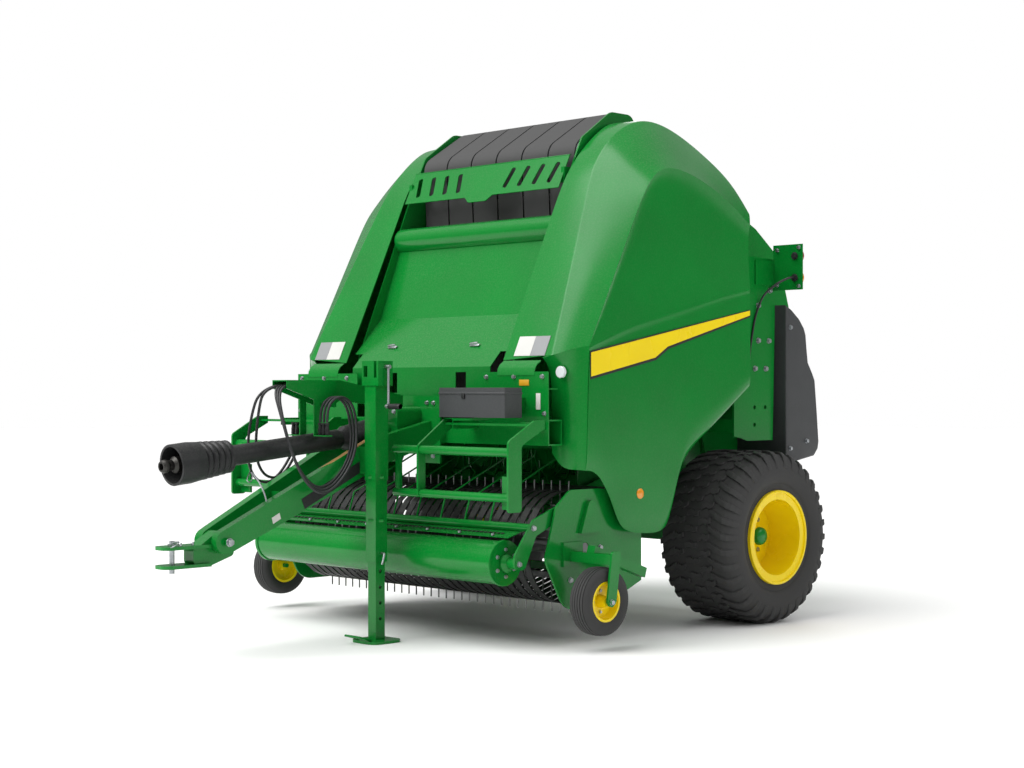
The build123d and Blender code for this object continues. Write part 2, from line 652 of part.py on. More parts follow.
def pickup_frame():
    """Pickup's end plates, cross beams and the arms back to the rotor's bearings."""
    top = REEL_Z + BAND_R
    low = REEL_Z - BAND_R
    plate_end = BAND_END_Y + 40
    end = plate([(REEL_Y - BAND_R - 3, REEL_Z - 40, 60), (REEL_Y - 210, top - 67, 60),
                 (REEL_Y - 110, top + 12, 50), (REEL_Y + 90, top + 12, 60), (plate_end, top - 7, 0),
                 (plate_end, low + 97, 0), (REEL_Y + 150, low - 13, 80), (REEL_Y - 150, low - 13, 120)],
                SIDE_PLATE_X, SIDE_PLATE_X + SIDE_PLATE_T)
    end -= rod_x(SIDE_PLATE_X - 1, SIDE_PLATE_X + SIDE_PLATE_T + 1, REEL_Y, REEL_Z, 30.05)
    brace = plate([(REEL_Y - 50, top - 207, 0), (REEL_Y + 30, top + 13, 30), (REEL_Y + 110, top - 207, 0)],
                  SIDE_PLATE_X + SIDE_PLATE_T, SIDE_PLATE_X + SIDE_PLATE_T + 22)
    upper = block(-SIDE_PLATE_X, SIDE_PLATE_X, BAND_END_Y - 35, BAND_END_Y, top - BAND_T - 40, top - BAND_T)
    lower = block(-SIDE_PLATE_X, SIDE_PLATE_X, BAND_END_Y - 30, BAND_END_Y, low + 112, low + 152)
    arm_y = BAND_END_Y - 35
    arm = plate([(arm_y, top - 87, 0), (ROTOR_Y - 100, ROTOR_Z - 100, 0),
                 (ROTOR_Y + 60, ROTOR_Z - 60, 50), (ROTOR_Y + 60, ROTOR_Z + 60, 50),
                 (ROTOR_Y - 100, ROTOR_Z + 80, 0), (arm_y, top - 32, 0)],
                WALL_IN + 25, WALL_IN + 41)
    arm -= rod_x(WALL_IN + 20, WALL_IN + 50, ROTOR_Y, ROTOR_Z, 36.05)
    hinge_pin = rod_x(GUARD_ARM_X - 4, SIDE_PLATE_X, GUARD_HINGE_Y, GUARD_HINGE_Z, 12)
    spring_lug = block(985, SIDE_PLATE_X, 1978, 2002, 535, 560)
    ends = list(both(end + brace + hinge_pin + spring_lug))
    return Compound([upper + lower + ends + list(both(arm))])


def gauge_arms():
    """Brackets, forks and hub bolts that carry the two gauge wheels."""
    outer = SIDE_PLATE_X + SIDE_PLATE_T
    bracket = block(outer, GAUGE_OUT + 20, 1625, 1675, 425, 475)
    plate_in = block(outer, outer + 12, 1580, 1720, 400, 520)
    fork = plate([(GAUGE_Y - 30, GAUGE_Z, 28), (GAUGE_Y + 5, 490, 15), (1690, 490, 15),
                  (GAUGE_Y + 35, GAUGE_Z, 28), (GAUGE_Y, GAUGE_Z - 35, 25)],
                 GAUGE_OUT + 10, GAUGE_OUT + 22)
    bolt = rod_x(GAUGE_IN - 5, GAUGE_OUT + 32, GAUGE_Y, GAUGE_Z, 12)
    strut = Pos(1200, 1645, 484) * Rot(-19.3, 0, 0) * block(-25, 25, -10, 400, -25, 25)
    arm = bracket + plate_in + fork + bolt + strut
    return Compound(list(both(arm)))


def tine_reel():
    """Reel shaft with its spiders, tine bars and rows of tines."""
    reel = rod_x(-SIDE_PLATE_X - 8, SIDE_PLATE_X + 8, REEL_Y, REEL_Z, 30)
    for x in (-990, -495, 0, 495, 990):
        reel += rod_x(x - 4, x + 4, REEL_Y, REEL_Z, TINE_BAR_R + 25)
    bars = []
    for row in range(TINE_ROWS):
        angle = row * 360 / TINE_ROWS
        bars.append(Pos(0, REEL_Y, REEL_Z) * Rot(angle, 0, 0)
                    * block(-1000, 1000, -15, 15, -TINE_BAR_R - 15, -TINE_BAR_R + 15))
    reel = reel + bars
    tines = []
    for row in range(TINE_ROWS):
        turn = Pos(0, REEL_Y, REEL_Z) * Rot(row * 360 / TINE_ROWS, 0, 0)
        for i in range(TINE_COLUMNS):
            x = (i - (TINE_COLUMNS - 1) / 2) * TINE_PITCH
            half = TINE_W / 2
            tines.append(turn * block(x - half, x + half, -half, half, -TINE_TIP_R, -TINE_BAR_R - 10))
    return reel + tines


def crop_roller():
    """Smooth roller in front of the reel, with flanged ends and stub shafts."""
    body = rod_x(-ROLLER_HALF, ROLLER_HALF, ROLLER_Y, ROLLER_Z, ROLLER_R)
    flange = rod_x(ROLLER_HALF, ROLLER_HALF + 12, ROLLER_Y, ROLLER_Z, ROLLER_R - 14)
    stub = rod_x(ROLLER_HALF + 12, GUARD_ARM_X + GUARD_ARM_T + 2, ROLLER_Y, ROLLER_Z, 26)
    return body + list(both(flange)) + list(both(stub))


def wind_guard():
    """Swinging crop guard: side arms, front tube, toothed sheet and the rods over the reel."""
    arm = plate([(1270, 400, 30), (1270, 470, 30), (1400, 640, 20), (1780, 775, 25), (1830, 735, 25),
                 (1420, 560, 20), (1340, 400, 30)], GUARD_ARM_X, GUARD_ARM_X + GUARD_ARM_T)
    bore = (GUARD_ARM_X - 10, GUARD_ARM_X + GUARD_ARM_T + 10)
    arm -= rod_x(*bore, ROLLER_Y, ROLLER_Z, 26.05)
    arm -= rod_x(*bore, GUARD_HINGE_Y, GUARD_HINGE_Z, 12.05)
    tube = rod_x(-GUARD_ARM_X, GUARD_ARM_X, GUARD_TUBE_Y, GUARD_TUBE_Z, 20)
    sheet = bent_sheet([(1300, 556), (1400, 583)], 4, -GUARD_ARM_X + 62, GUARD_ARM_X - 62)
    rods = []
    for i in range(3, TINE_COLUMNS - 3, 3):
        x = (i - (TINE_COLUMNS - 2) / 2) * TINE_PITCH
        rods.append(hex_bar((x, GUARD_TUBE_Y - 5, GUARD_TUBE_Z + 10), (x, 1430, 720), 5)
                    + hex_bar((x, 1428, 719), (x, 1900, 929), 5))
    return tube + sheet + rods + list(both(arm))


def gauge_tyre(side):
    """Ribbed tyre of one gauge wheel."""
    bead = GAUGE_R - 70
    rows = [(GAUGE_IN + 12, bead), (GAUGE_IN, bead + 18), (GAUGE_IN, GAUGE_R - 22),
            (GAUGE_IN + 30, GAUGE_R), (GAUGE_OUT - 30, GAUGE_R), (GAUGE_OUT, GAUGE_R - 22),
            (GAUGE_OUT, bead + 18), (GAUGE_OUT - 12, bead)]
    return turned_x(rows, GAUGE_Y, GAUGE_Z, SIDES[side])


def gauge_rim(side):
    """Dished rim and hub of one gauge wheel."""
    seat = GAUGE_R - 70.5
    rows = [(GAUGE_IN + 12, seat), (GAUGE_IN + 12, seat - 13), (GAUGE_IN + 52, seat - 19),
            (GAUGE_IN + 52, 30), (GAUGE_IN + 25, 26), (GAUGE_IN + 25, 12.05), (GAUGE_OUT - 5, 12.05),
            (GAUGE_OUT - 5, 24), (GAUGE_IN + 65, 34), (GAUGE_IN + 65, seat - 19),
            (GAUGE_OUT - 12, seat - 11), (GAUGE_OUT - 12, seat)]
    return turned_x(rows, GAUGE_Y, GAUGE_Z, SIDES[side])


# ---- rotor and wheels ---------------------------------------------------------------------------
def feed_rotor():
    """Feed rotor: shaft with pairs of toothed star plates."""
    rotor = rod_x(-WALL_IN - WALL_T - 34, WALL_IN + WALL_T + 34, ROTOR_Y, ROTOR_Z, 36)
    rotor += rod_x(-590, 590, ROTOR_Y, ROTOR_Z, 95)
    teeth = 6
    points = []
    for tooth in range(teeth):
        base = 2 * math.pi * tooth / teeth
        for radius, turn in ((100, 0.0), (ROTOR_R, 0.30), (ROTOR_R - 25, 0.42), (118, 0.60)):
            points.append((radius * math.cos(base + turn), radius * math.sin(base + turn)))
    star = make_face(Polyline(*points, close=True))
    for disc in range(ROTOR_DISCS):
        x = ROTOR_PITCH * (disc - (ROTOR_DISCS - 1) / 2)
        twist = Rot(0, 0, 20 * (disc % 3))
        rotor += Pos(0, ROTOR_Y, ROTOR_Z) * plate(twist * star, x - 4, x + 4)
    return rotor


def main_tyre(side):
    """Wide flotation tyre."""
    bead_in, bead_out = TYRE_IN + BEAD_INSET, TYRE_OUT - BEAD_INSET
    rows = [(bead_in, RIM_SEAT_R), (bead_in - 9, RIM_FLANGE_R + 4), (TYRE_IN, 340), (TYRE_IN + 10, 405),
            (TYRE_IN + 42, TYRE_R - 24), (TYRE_IN + 95, TYRE_R - 6), (TYRE_IN / 2 + TYRE_OUT / 2, TYRE_R),
            (TYRE_OUT - 95, TYRE_R - 6), (TYRE_OUT - 42, TYRE_R - 24), (TYRE_OUT - 10, 405), (TYRE_OUT, 340),
            (bead_out + 9, RIM_FLANGE_R + 4), (bead_out, RIM_SEAT_R)]
    return turned_x(rows, AXLE_Y, AXLE_Z, SIDES[side])


def main_rim(side):
    """Deep rim with its disc and hub."""
    bead_in, bead_out = TYRE_IN + BEAD_INSET, TYRE_OUT - BEAD_INSET
    seat = RIM_SEAT_R - 0.1
    bore = SPINDLE_R + 0.05
    disc = TYRE_IN / 2 + TYRE_OUT / 2 + 10
    rows = [(bead_in - 1, seat), (bead_in - 10, RIM_FLANGE_R), (bead_in - 20, RIM_FLANGE_R),
            (bead_in - 16, RIM_SEAT_R - 11), (disc - 110, RIM_SEAT_R - 26), (disc, RIM_SEAT_R - 20),
            (disc + 12, 70), (disc - 50, 66), (disc - 50, bore), (disc + 92, bore), (disc + 92, 0),
            (disc + 115, 0), (disc + 115, 44), (disc + 24, 72), (disc + 14, RIM_SEAT_R - 16),
            (bead_out + 16, RIM_SEAT_R - 9), (bead_out + 20, RIM_FLANGE_R), (bead_out + 10, RIM_FLANGE_R),
            (bead_out + 1, seat)]
    return turned_x(rows, AXLE_Y, AXLE_Z, SIDES[side])


# ---- tailgate -----------------------------------------------------------------------------------
# y, z, corner radius
GATE_OUTLINE = [
    (2700, 2470, 25),
    (2700, 2560, 40),
    (2790, 2590, 30),
    (3340, 2400, 60),
    (3700, 2240, 80),
    (3930, 2080, 160),
    (GATE_REAR_Y, 1700, 200),
    (GATE_REAR_Y, 1060, 160),
    (3860, 740, 120),
    (3480, 640, 60),
    (3300, 660, 20),
    (3270, 760, 0),
    (2762, 2400, 0),
]


def tailgate():
    """Tailgate shell: two side plates and the wrapped rear skin."""
    face = profile(GATE_OUTLINE)
    side_plate = plate(face, GATE_IN, GATE_IN + GATE_T)
    side_plate -= block(600, 700, 2600, 2760, 2380, 2620)
    ear = plate([(2700, 2460, 25), (2700, 2560, 30), (2800, 2585, 0), (2840, 2380, 0), (2790, 2360, 0)],
                GATE_IN, GATE_IN + GATE_T)
    side_plate += ear
    shell = plate(face, -GATE_IN, GATE_IN) - plate(offset(face, amount=-6), -GATE_IN, GATE_IN)
    shell -= block(-700, 700, 2600, 2870, 2300, 2700)
    shell -= plate([(2700, 2300, 0), (3400, 0, 0), (3420, 700, 0), (2880, 2500, 0), (2700, 2700, 0)],
                   -700, 700)
    stub = rod_x(WALL_IN, GATE_IN + GATE_T, PIVOT_Y, PIVOT_Z, 21.95)
    lug = rod_x(GATE_IN + GATE_T, CYLINDER_X - 22, *ROD_PIN, 30)
    return shell + list(both(side_plate)) + list(both(lug)) + list(both(stub))


def gate_covers():
    """Stepped plastic covers on the outside of the tailgate."""
    rows = [(3520, 1770, 10), (3660, 1690, 20), (3720, 1620, 20), (3740, 1450, 20), (3810, 1350, 20),
            (3850, 960, 40), (3800, 890, 20), (3520, 850, 10)]
    shell = plate(rows, GATE_IN + GATE_T, 1000)
    rows_in = [(3526, 1760, 0), (3655, 1684, 0), (3713, 1616, 0), (3733, 1446, 0), (3803, 1346, 0),
               (3843, 964, 0), (3797, 897, 0), (3526, 857, 0)]
    shell -= plate(rows_in, GATE_IN + GATE_T - 1, 994)
    return Compound(list(both(shell)))


def cylinder_frame():
    """Unit vector and length of the closed gate cylinder."""
    run = Vector(0, ROD_PIN[0] - BARREL_PIN[0], ROD_PIN[1] - BARREL_PIN[1])
    return run.normalized(), run.length


def cylinder_barrel(side):
    """Barrel of one gate cylinder with its lower eye."""
    along, length = cylinder_frame()
    base = Vector(CYLINDER_X, *BARREL_PIN)
    barrel = rod(base + along * 30, base + along * (length - 120), 34)
    barrel -= rod(base + along * 60, base + along * (length - 110), 18.05)
    eye = rod_x(CYLINDER_X - 18, CYLINDER_X + 18, *BARREL_PIN, 32)
    body = barrel + eye - rod_x(CYLINDER_X - 40, CYLINDER_X + 40, *BARREL_PIN, 14.05)
    return sided(body, side)


def cylinder_rod(side):
    """Rod of one gate cylinder with its upper eye."""
    along, length = cylinder_frame()
    base = Vector(CYLINDER_X, *BARREL_PIN)
    shaft = rod(base + along * 80, base + along * (length - 20), 18)
    eye = rod_x(CYLINDER_X - 16, CYLINDER_X + 16, *ROD_PIN, 30)
    body = shaft + eye + rod_x(CYLINDER_X - 20, CYLINDER_X + 26, *ROD_PIN, 13)
    return sided(body, side)


def lift_springs():
    """Tension springs that carry part of the pickup's weight."""
    spring = rod((1000, 1990, 560), (1000, 1990, 970), 24)
    return Compound(list(both(spring)))


# ---- nodes --------------------------------------------------------------------------------------
os.makedirs("parts", exist_ok=True)

clevis_body, clevis_bolt = hitch_clevis()
drawbar_shape = drawbar()

single_nodes = {
    "cross_tube": cross_tube(),
    "apron": apron(),
    "grille_bar": grille_bar(),
    "belt_rollers": belt_rollers(),
    "belts": belts(),
    "axle": axle(),
    "front_beam": front_beam(),
    "drawbar": drawbar_shape - clevis_bolt,
    "hitch_clevis": clevis_body + clevis_bolt,
    "hitch_pin": hitch_pin(),
    "jack_tube": jack_tube(),
    "jack_leg": jack_leg(),
    "jack_crank": jack_crank(),
    "gearbox": gearbox(),
    "gearbox_plate": gearbox_plate(),
    "pto_guard_rear": pto_guard_rear(),
    "pto_guard_front": pto_guard_front(),
    "pto_yoke": pto_yoke(),
    "hose_holder": hose_holder(),
    "hose_couplers": hose_couplers(),
    "lamp_cable": tube_along([Vector(*point) for point in CABLE_POINTS], CABLE_D),
    "tool_box": tool_box(),
    "tool_box_lid": tool_box_lid(),
    "tail_lamps": tail_lamps(),
    "stripper_bands": stripper_bands(),
    "pickup_frame": pickup_frame(),
    "gauge_arms": gauge_arms(),
    "tine_reel": tine_reel(),
    "crop_roller": crop_roller(),
    "wind_guard": wind_guard(),
    "feed_rotor": feed_rotor(),
    "tailgate": tailgate(),
    "gate_covers": gate_covers(),
    "lift_springs": lift_springs(),
}
sided_nodes = {
    "chamber_wall": chamber_wall,
    "rear_frame": rear_frame,
    "guard_rail": guard_rail,
    "side_shield": side_shield,
    "gauge_tyre": gauge_tyre,
    "gauge_rim": gauge_rim,
    "main_tyre": main_tyre,
    "main_rim": main_rim,
    "cylinder_barrel": cylinder_barrel,
    "cylinder_rod": cylinder_rod,
}
for name in HOSES:
    single_nodes[name] = tube_along(hose_points(name), HOSE_D)
for name, shape in single_nodes.items():
    save(name, shape)
for name, builder in sided_nodes.items():
    for side in SIDES:
        save(f"{name}_{side}", builder(side))
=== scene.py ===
"""Round baler: finishes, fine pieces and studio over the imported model."""

import logging
import math
from collections.abc import Iterable, Sequence
from dataclasses import dataclass, field
from enum import Enum

import bpy
from mathutils import Matrix, Vector


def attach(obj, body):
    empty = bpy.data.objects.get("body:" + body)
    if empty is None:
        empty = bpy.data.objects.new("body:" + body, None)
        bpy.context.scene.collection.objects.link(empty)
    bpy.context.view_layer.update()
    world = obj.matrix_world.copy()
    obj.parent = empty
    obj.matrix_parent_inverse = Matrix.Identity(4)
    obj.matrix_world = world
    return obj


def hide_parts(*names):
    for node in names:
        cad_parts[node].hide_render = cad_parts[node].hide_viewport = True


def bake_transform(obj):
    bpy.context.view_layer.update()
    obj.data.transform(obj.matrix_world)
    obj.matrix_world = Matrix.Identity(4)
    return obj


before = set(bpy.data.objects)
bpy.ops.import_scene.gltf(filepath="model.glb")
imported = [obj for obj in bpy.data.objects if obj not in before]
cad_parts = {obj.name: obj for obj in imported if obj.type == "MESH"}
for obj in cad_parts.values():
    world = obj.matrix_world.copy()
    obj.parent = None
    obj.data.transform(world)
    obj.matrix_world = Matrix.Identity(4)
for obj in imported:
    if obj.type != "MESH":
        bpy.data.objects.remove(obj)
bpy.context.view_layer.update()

log = logging.getLogger("round_baler")

Point = tuple[float, float, float]
Rows = tuple[Point, ...]
Profile = tuple[tuple[float, float], ...]
Span = tuple[float, float]
Socket = bpy.types.NodeSocket
Piece = bpy.types.Object

MM = 0.001
PIN_TO_ROW = -1.9925


def row_y(y: float) -> float:
    """Return the row frame's y in metres of a distance behind the hitch pin in millimetres."""
    return y * MM + PIN_TO_ROW


def at(x: float, y: float, z: float) -> Point:
    """Return a place given from the hitch pin in millimetres as a point of the row frame in metres."""
    return (x * MM, row_y(y), z * MM)


def linear(code: str) -> tuple[float, float, float, float]:
    """Turn an sRGB hex value into the linear colour that a shader wants.

    Args:
        code: six hex digits with a leading hash.

    Returns:
        Linear red, green, blue and an alpha of one.
    """
    parts = [int(code[i : i + 2], 16) / 255 for i in (1, 3, 5)]
    out = [c / 12.92 if c <= 0.04045 else ((c + 0.055) / 1.055) ** 2.4 for c in parts]
    return (out[0], out[1], out[2], 1.0)


def add_node(tree: bpy.types.NodeTree, kind: str, settings: dict | None = None, **links: Socket) -> bpy.types.Node:
    """Add one shader node with its settings and links.

    Args:
        tree: the node tree that takes it.
        kind: the node's type.
        settings: values for its attributes, or for its inputs by their name or number.
        links: sockets that feed its inputs, by input name with underscores for spaces.

    Returns:
        The new node.
    """
    made = tree.nodes.new(kind)
    for key, value in (settings or {}).items():
        if isinstance(key, int) or key in made.inputs:
            made.inputs[key].default_value = value
        else:
            setattr(made, key, value)
    for key, socket in links.items():
        name = key.replace("_", " ")
        slot = made.inputs[int(key[1:])] if key[1:].isdigit() else made.inputs[name]
        tree.links.new(socket, slot)
    return made


def ramp(tree: bpy.types.NodeTree, value: Socket, source: Span, target: Span) -> Socket:
    """Return a value mapped from one range to another."""
    ends = {"From Min": source[0], "From Max": source[1], "To Min": target[0], "To Max": target[1]}
    return add_node(tree, "ShaderNodeMapRange", ends, Value=value).outputs["Result"]


def reckon(tree: bpy.types.NodeTree, operation: str, first: Socket, second: Socket | float = 0.0) -> Socket:
    """Return what an operation makes of a socket and a second socket or number."""
    made = add_node(tree, "ShaderNodeMath", {"operation": operation}, _0=first)
    if isinstance(second, float):
        made.inputs[1].default_value = second
    else:
        tree.links.new(second, made.inputs[1])
    return made.outputs[0]


def noise(tree: bpy.types.NodeTree, place: Socket, size_mm: float, detail: float, rough: float) -> Socket:
    """Return a cloudy value whose clouds are about as large as stated."""
    settings = {"Scale": 1 / (size_mm * MM), "Detail": detail, "Roughness": rough}
    return add_node(tree, "ShaderNodeTexNoise", settings, Vector=place).outputs["Fac"]


class Grain(Enum):
    """How a finish's surface was made, which sets its bump."""

    PEEL = "sprayed"
    MOULDED = "moulded"
    BRUSHED = "brushed"
    RUBBER = "vulcanised"
    DIAMOND = "diamond belt"


@dataclass(frozen=True)
class Finish:
    """One real finish, with what gives it its look."""

    name: str
    slot: str
    colour: str
    shade: str
    dust: str = "#b9b4a6"
    dusty: float = 0.10
    roughness: float = 0.3
    spread: float = 0.1
    metallic: float = 0.0
    coat: float = 0.0
    ior: float = 1.5
    grain: Grain = Grain.PEEL
    grain_mm: float = 6.0
    depth_mm: float = 0.05
    patch_mm: float = 400.0
    speck_mm: float = 9.0
    specular: float = 0.5

    def material(self) -> bpy.types.Material:
        """Build the procedural material once and give it back after that."""
        known = bpy.data.materials.get(self.name)
        if known is not None:
            return known
        made = bpy.data.materials.new(self.name)
        made.use_nodes = True
        tree = made.node_tree
        tree.nodes.clear()
        place = add_node(tree, "ShaderNodeTexCoord").outputs["Object"]
        patches = noise(tree, place, self.patch_mm, 5.0, 0.55)
        sheen = ramp(tree, patches, (0.25, 0.75), (self.roughness, self.roughness + self.spread))
        settings = {
            "Metallic": self.metallic, "Coat Weight": self.coat, "Coat Roughness": 0.06,
            "Specular IOR Level": self.specular,
        }
        shader = add_node(
            tree, "ShaderNodeBsdfPrincipled", settings,
            Base_Color=self.tone(tree, place, patches), Roughness=sheen, Normal=self.bump(tree, place),
        )
        if self.metallic < 0.5:
            shader.inputs["IOR"].default_value = self.ior
        add_node(tree, "ShaderNodeOutputMaterial", None, Surface=shader.outputs["BSDF"])
        made.diffuse_color = linear(self.colour)
        return made

    def tone(self, tree: bpy.types.NodeTree, place: Socket, patches: Socket) -> Socket:
        """Return the colour with its patches and the dust that lies on it; on a belt the grooves between the ribs
        are painted darker as shade in place of the patches.

        Args:
            tree: the material's node tree.
            place: the object coordinates.
            patches: the cloudy value that the patches follow.

        Returns:
            The colour socket for the shader.
        """
        # On a belt the colour follows the rib height: the grooves get painted shade, the rib tops the lighter
        # colour.
        ribs = self.diamonds(tree, place) if self.grain is Grain.DIAMOND else patches
        patches_and_groove_shade = ramp(tree, ribs, (0.3, 0.7), (0.0, 1.0))
        tones = {"data_type": "RGBA", 6: linear(self.colour), 7: linear(self.shade)}
        body = add_node(tree, "ShaderNodeMix", tones, Factor=patches_and_groove_shade).outputs[2]
        normal = add_node(tree, "ShaderNodeNewGeometry").outputs["Normal"]
        upward = add_node(tree, "ShaderNodeSeparateXYZ", None, Vector=normal).outputs["Z"]
        lying = ramp(tree, upward, (0.2, 1.0), (0.25, 1.0))
        speckled = ramp(tree, noise(tree, place, self.speck_mm, 4.0, 0.7), (0.45, 0.75), (0.0, self.dusty))
        amount = reckon(tree, "MULTIPLY", lying, speckled)
        dusted = {"data_type": "RGBA", 7: linear(self.dust)}
        return add_node(tree, "ShaderNodeMix", dusted, Factor=amount, _6=body).outputs[2]

    def bump(self, tree: bpy.types.NodeTree, place: Socket) -> Socket:
        """Return the normal that the way of making leaves on the surface.

        Args:
            tree: the material's node tree.
            place: the object coordinates.

        Returns:
            The normal socket for the shader.
        """
        if self.grain is Grain.BRUSHED:
            place = add_node(tree, "ShaderNodeMapping", {"Scale": (1.0, 1.0, 0.08)}, Vector=place).outputs[0]
        if self.grain is Grain.DIAMOND:
            height = self.diamonds(tree, place)
        elif self.grain is Grain.MOULDED:
            cells = {"Scale": 1 / (self.grain_mm * MM), "feature": "SMOOTH_F1"}
            height = add_node(tree, "ShaderNodeTexVoronoi", cells, Vector=place).outputs["Distance"]
        else:
            height = noise(tree, place, self.grain_mm, 3.0, 0.5)
        relief = {"Strength": 0.6, "Distance": self.depth_mm * MM}
        return add_node(tree, "ShaderNodeBump", relief, Height=height).outputs["Normal"]

    def diamonds(self, tree: bpy.types.NodeTree, place: Socket) -> Socket:
        """Return the height of a belt's crossed ribs, one pitch apart across and along it."""
        parts = add_node(tree, "ShaderNodeSeparateXYZ", None, Vector=place).outputs
        along = reckon(tree, "SUBTRACT", parts["Z"], parts["Y"])
        turn = math.tau / (self.grain_mm * MM)
        waves = []
        for way in ("ADD", "SUBTRACT"):
            phase = reckon(tree, "MULTIPLY", reckon(tree, way, parts["X"], along), turn)
            waves.append(reckon(tree, "SINE", phase))
        return reckon(tree, "MAXIMUM", *waves)


# Two-pack enamel on steel panels: even gloss over faint orange peel.
GREEN = Finish(
    "green_enamel", "green_paint", "#027d2b", "#027326", roughness=0.15, spread=0.08, specular=0.34, grain_mm=5,
    depth_mm=0.014,
)
# Sprayed yellow enamel on rims and stripe: opaque, a little flatter than the panels.
YELLOW = Finish(
    "yellow_enamel", "yellow_paint", "#f8dc08", "#f2d306", roughness=0.22, spread=0.1, specular=0.4, dusty=0.05,
    grain_mm=5, depth_mm=0.04,
)
# New vulcanised tyre rubber: charcoal with a greasy bloom and fine mould texture.
TYRE = Finish(
    "tyre_rubber", "tyre_rubber", "#1a1b1c", "#212223", dusty=0.16, specular=0.3, roughness=0.62, spread=0.16,
    grain=Grain.RUBBER, grain_mm=3, depth_mm=0.25,
)
# Woven-core belt rubber: dull black cover with crossed grip ribs; its colour is painted darker in the grooves as
# shade and lighter on the rib tops.
BELT = Finish(
    "belt_rubber", "belt_rubber", "#060707", "#202121", specular=0.1, ior=1.2, dusty=0.03, roughness=0.7,
    spread=0.15, grain=Grain.DIAMOND, grain_mm=26, depth_mm=1.4,
)
# Phosphated steel with a little oil, as on a driveline yoke.
DARK_STEEL = Finish(
    "dark_steel", "dark_steel", "#4a4947", "#3a3937", specular=0.5, metallic=1.0, roughness=0.42, spread=0.15,
    grain_mm=4, depth_mm=0.02,
)
# Injection-moulded black polypropylene: satin with a fine spark-eroded grain.
BLACK = Finish(
    "black_polypropylene", "black_plastic", "#141517", "#1a1b1d", specular=0.4, roughness=0.42, spread=0.14,
    grain=Grain.MOULDED, grain_mm=1.6, depth_mm=0.05,
)
# Moulded grey polyethylene covers: matt, slightly mottled.
GREY = Finish(
    "grey_polyethylene", "grey_plastic", "#3b3d3f", "#333537", roughness=0.48, spread=0.12, grain=Grain.MOULDED,
    grain_mm=2.5, depth_mm=0.08,
)
# Zinc-plated steel: bluish silver with a soft crystalline cloudiness.
ZINC = Finish(
    "zinc_plate", "zinc_steel", "#b9bdc0", "#9da2a6", roughness=0.26, spread=0.18, metallic=1.0,
    grain=Grain.BRUSHED, grain_mm=2, depth_mm=0.02, patch_mm=40,
)
# Oil-tempered spring wire: dark grey drawn steel.
SPRING = Finish(
    "tempered_spring_steel", "spring_steel", "#8b8c8a", "#77787a", roughness=0.36, spread=0.15, metallic=0.85,
    grain=Grain.BRUSHED, grain_mm=2, depth_mm=0.02, patch_mm=80,
)
# Hard-chromed cylinder rod: mirror-like.
CHROME = Finish(
    "hard_chrome", "chrome_rod", "#d6dadc", "#c6cacd", roughness=0.07, spread=0.05, metallic=1.0, dusty=0.02,
    grain_mm=4, depth_mm=0.005,
)
# Red acrylic lamp lens: glossy and saturated.
LENS = Finish(
    "red_acrylic", "lamp_lens", "#b01214", "#8f0d10", roughness=0.08, spread=0.05, coat=0.8, dusty=0.03,
    grain=Grain.MOULDED, grain_mm=5, depth_mm=0.3,
)
# Smooth nitrile hose cover: semi-matt black.
HOSE = Finish(
    "nitrile_hose", "hose_rubber", "#191a1c", "#222326", roughness=0.40, spread=0.14, grain=Grain.RUBBER,
    grain_mm=1.5, depth_mm=0.04,
)
# Amber acrylic reflector: bright face with a prismatic back.
AMBER = Finish(
    "amber_acrylic", "lamp_lens", "#f09a1c", "#e08a10", roughness=0.12, spread=0.05, coat=0.6, dusty=0.03,
    grain=Grain.MOULDED, grain_mm=3, depth_mm=0.2,
)
# White retro-reflector: milky face behind a clear lens.
PEARL = Finish(
    "white_reflector", "lamp_lens", "#e9ecee", "#d8dcdf", roughness=0.12, spread=0.06, coat=0.6, dusty=0.03,
    grain=Grain.MOULDED, grain_mm=3, depth_mm=0.2,
)


def film(name: str, slot: str, colour: str, shade: str) -> Finish:
    """Return a plain satin vinyl film in one colour."""
    return Finish(name, slot, colour, shade, roughness=0.35, spread=0.1, dusty=0.05, grain_mm=8, depth_mm=0.02)


# Plain vinyl films, satin: white, grey and amber.
WHITE_FILM = film("white_vinyl", "grey_plastic", "#cfcfcb", "#c6c6c0")
GREY_FILM = film("grey_vinyl", "grey_plastic", "#8f9192", "#86888a")
AMBER_FILM = film("amber_vinyl", "yellow_paint", "#d9a21b", "#cf9712")
# Tan woven rubbing strip: matt and fibrous.
TAN = Finish(
    "tan_strip", "black_plastic", "#b98f57", "#a67d48", roughness=0.7, spread=0.1, grain=Grain.RUBBER,
    grain_mm=2, depth_mm=0.2,
)
# Black-painted band steel, rubbed bright in patches by the crop.
BAND = Finish(
    "black_band_steel", "spring_steel", "#1c1d1d", "#2c2d2d", roughness=0.34, spread=0.2, metallic=0.4,
    grain=Grain.BRUSHED, grain_mm=3, depth_mm=0.03, patch_mm=120,
)


def draw_curve(
    name: str, rows: Sequence[Point], radius: float, sides: int, steps: int, round_off: bool = True
) -> Piece:
    """Draw a round curve along its control points.

    Args:
        name: the curve's name.
        rows: its control points in metres.
        radius: half its diameter in metres.
        sides: the bevel resolution, each step adding faces round the curve.
        steps: how many pieces each span is cut into.
        round_off: whether the corners are smooth.

    Returns:
        The curve object, linked into the scene.
    """
    line = bpy.data.curves.new(name, "CURVE")
    line.dimensions = "3D"
    line.bevel_depth = radius
    line.bevel_resolution = sides
    line.resolution_u = steps
    line.use_fill_caps = True
    spline = line.splines.new("NURBS" if round_off else "POLY")
    spline.points.add(len(rows) - 1)
    for point, row in zip(spline.points, rows):
        point.co = (*row, 1.0)
    if round_off:
        spline.order_u = 3
        spline.use_endpoint_u = True
    return link(name, line)


def link(name: str, data: bpy.types.ID) -> Piece:
    """Return a new object for some data, linked into the scene."""
    made = bpy.data.objects.new(name, data)
    bpy.context.scene.collection.objects.link(made)
    return made


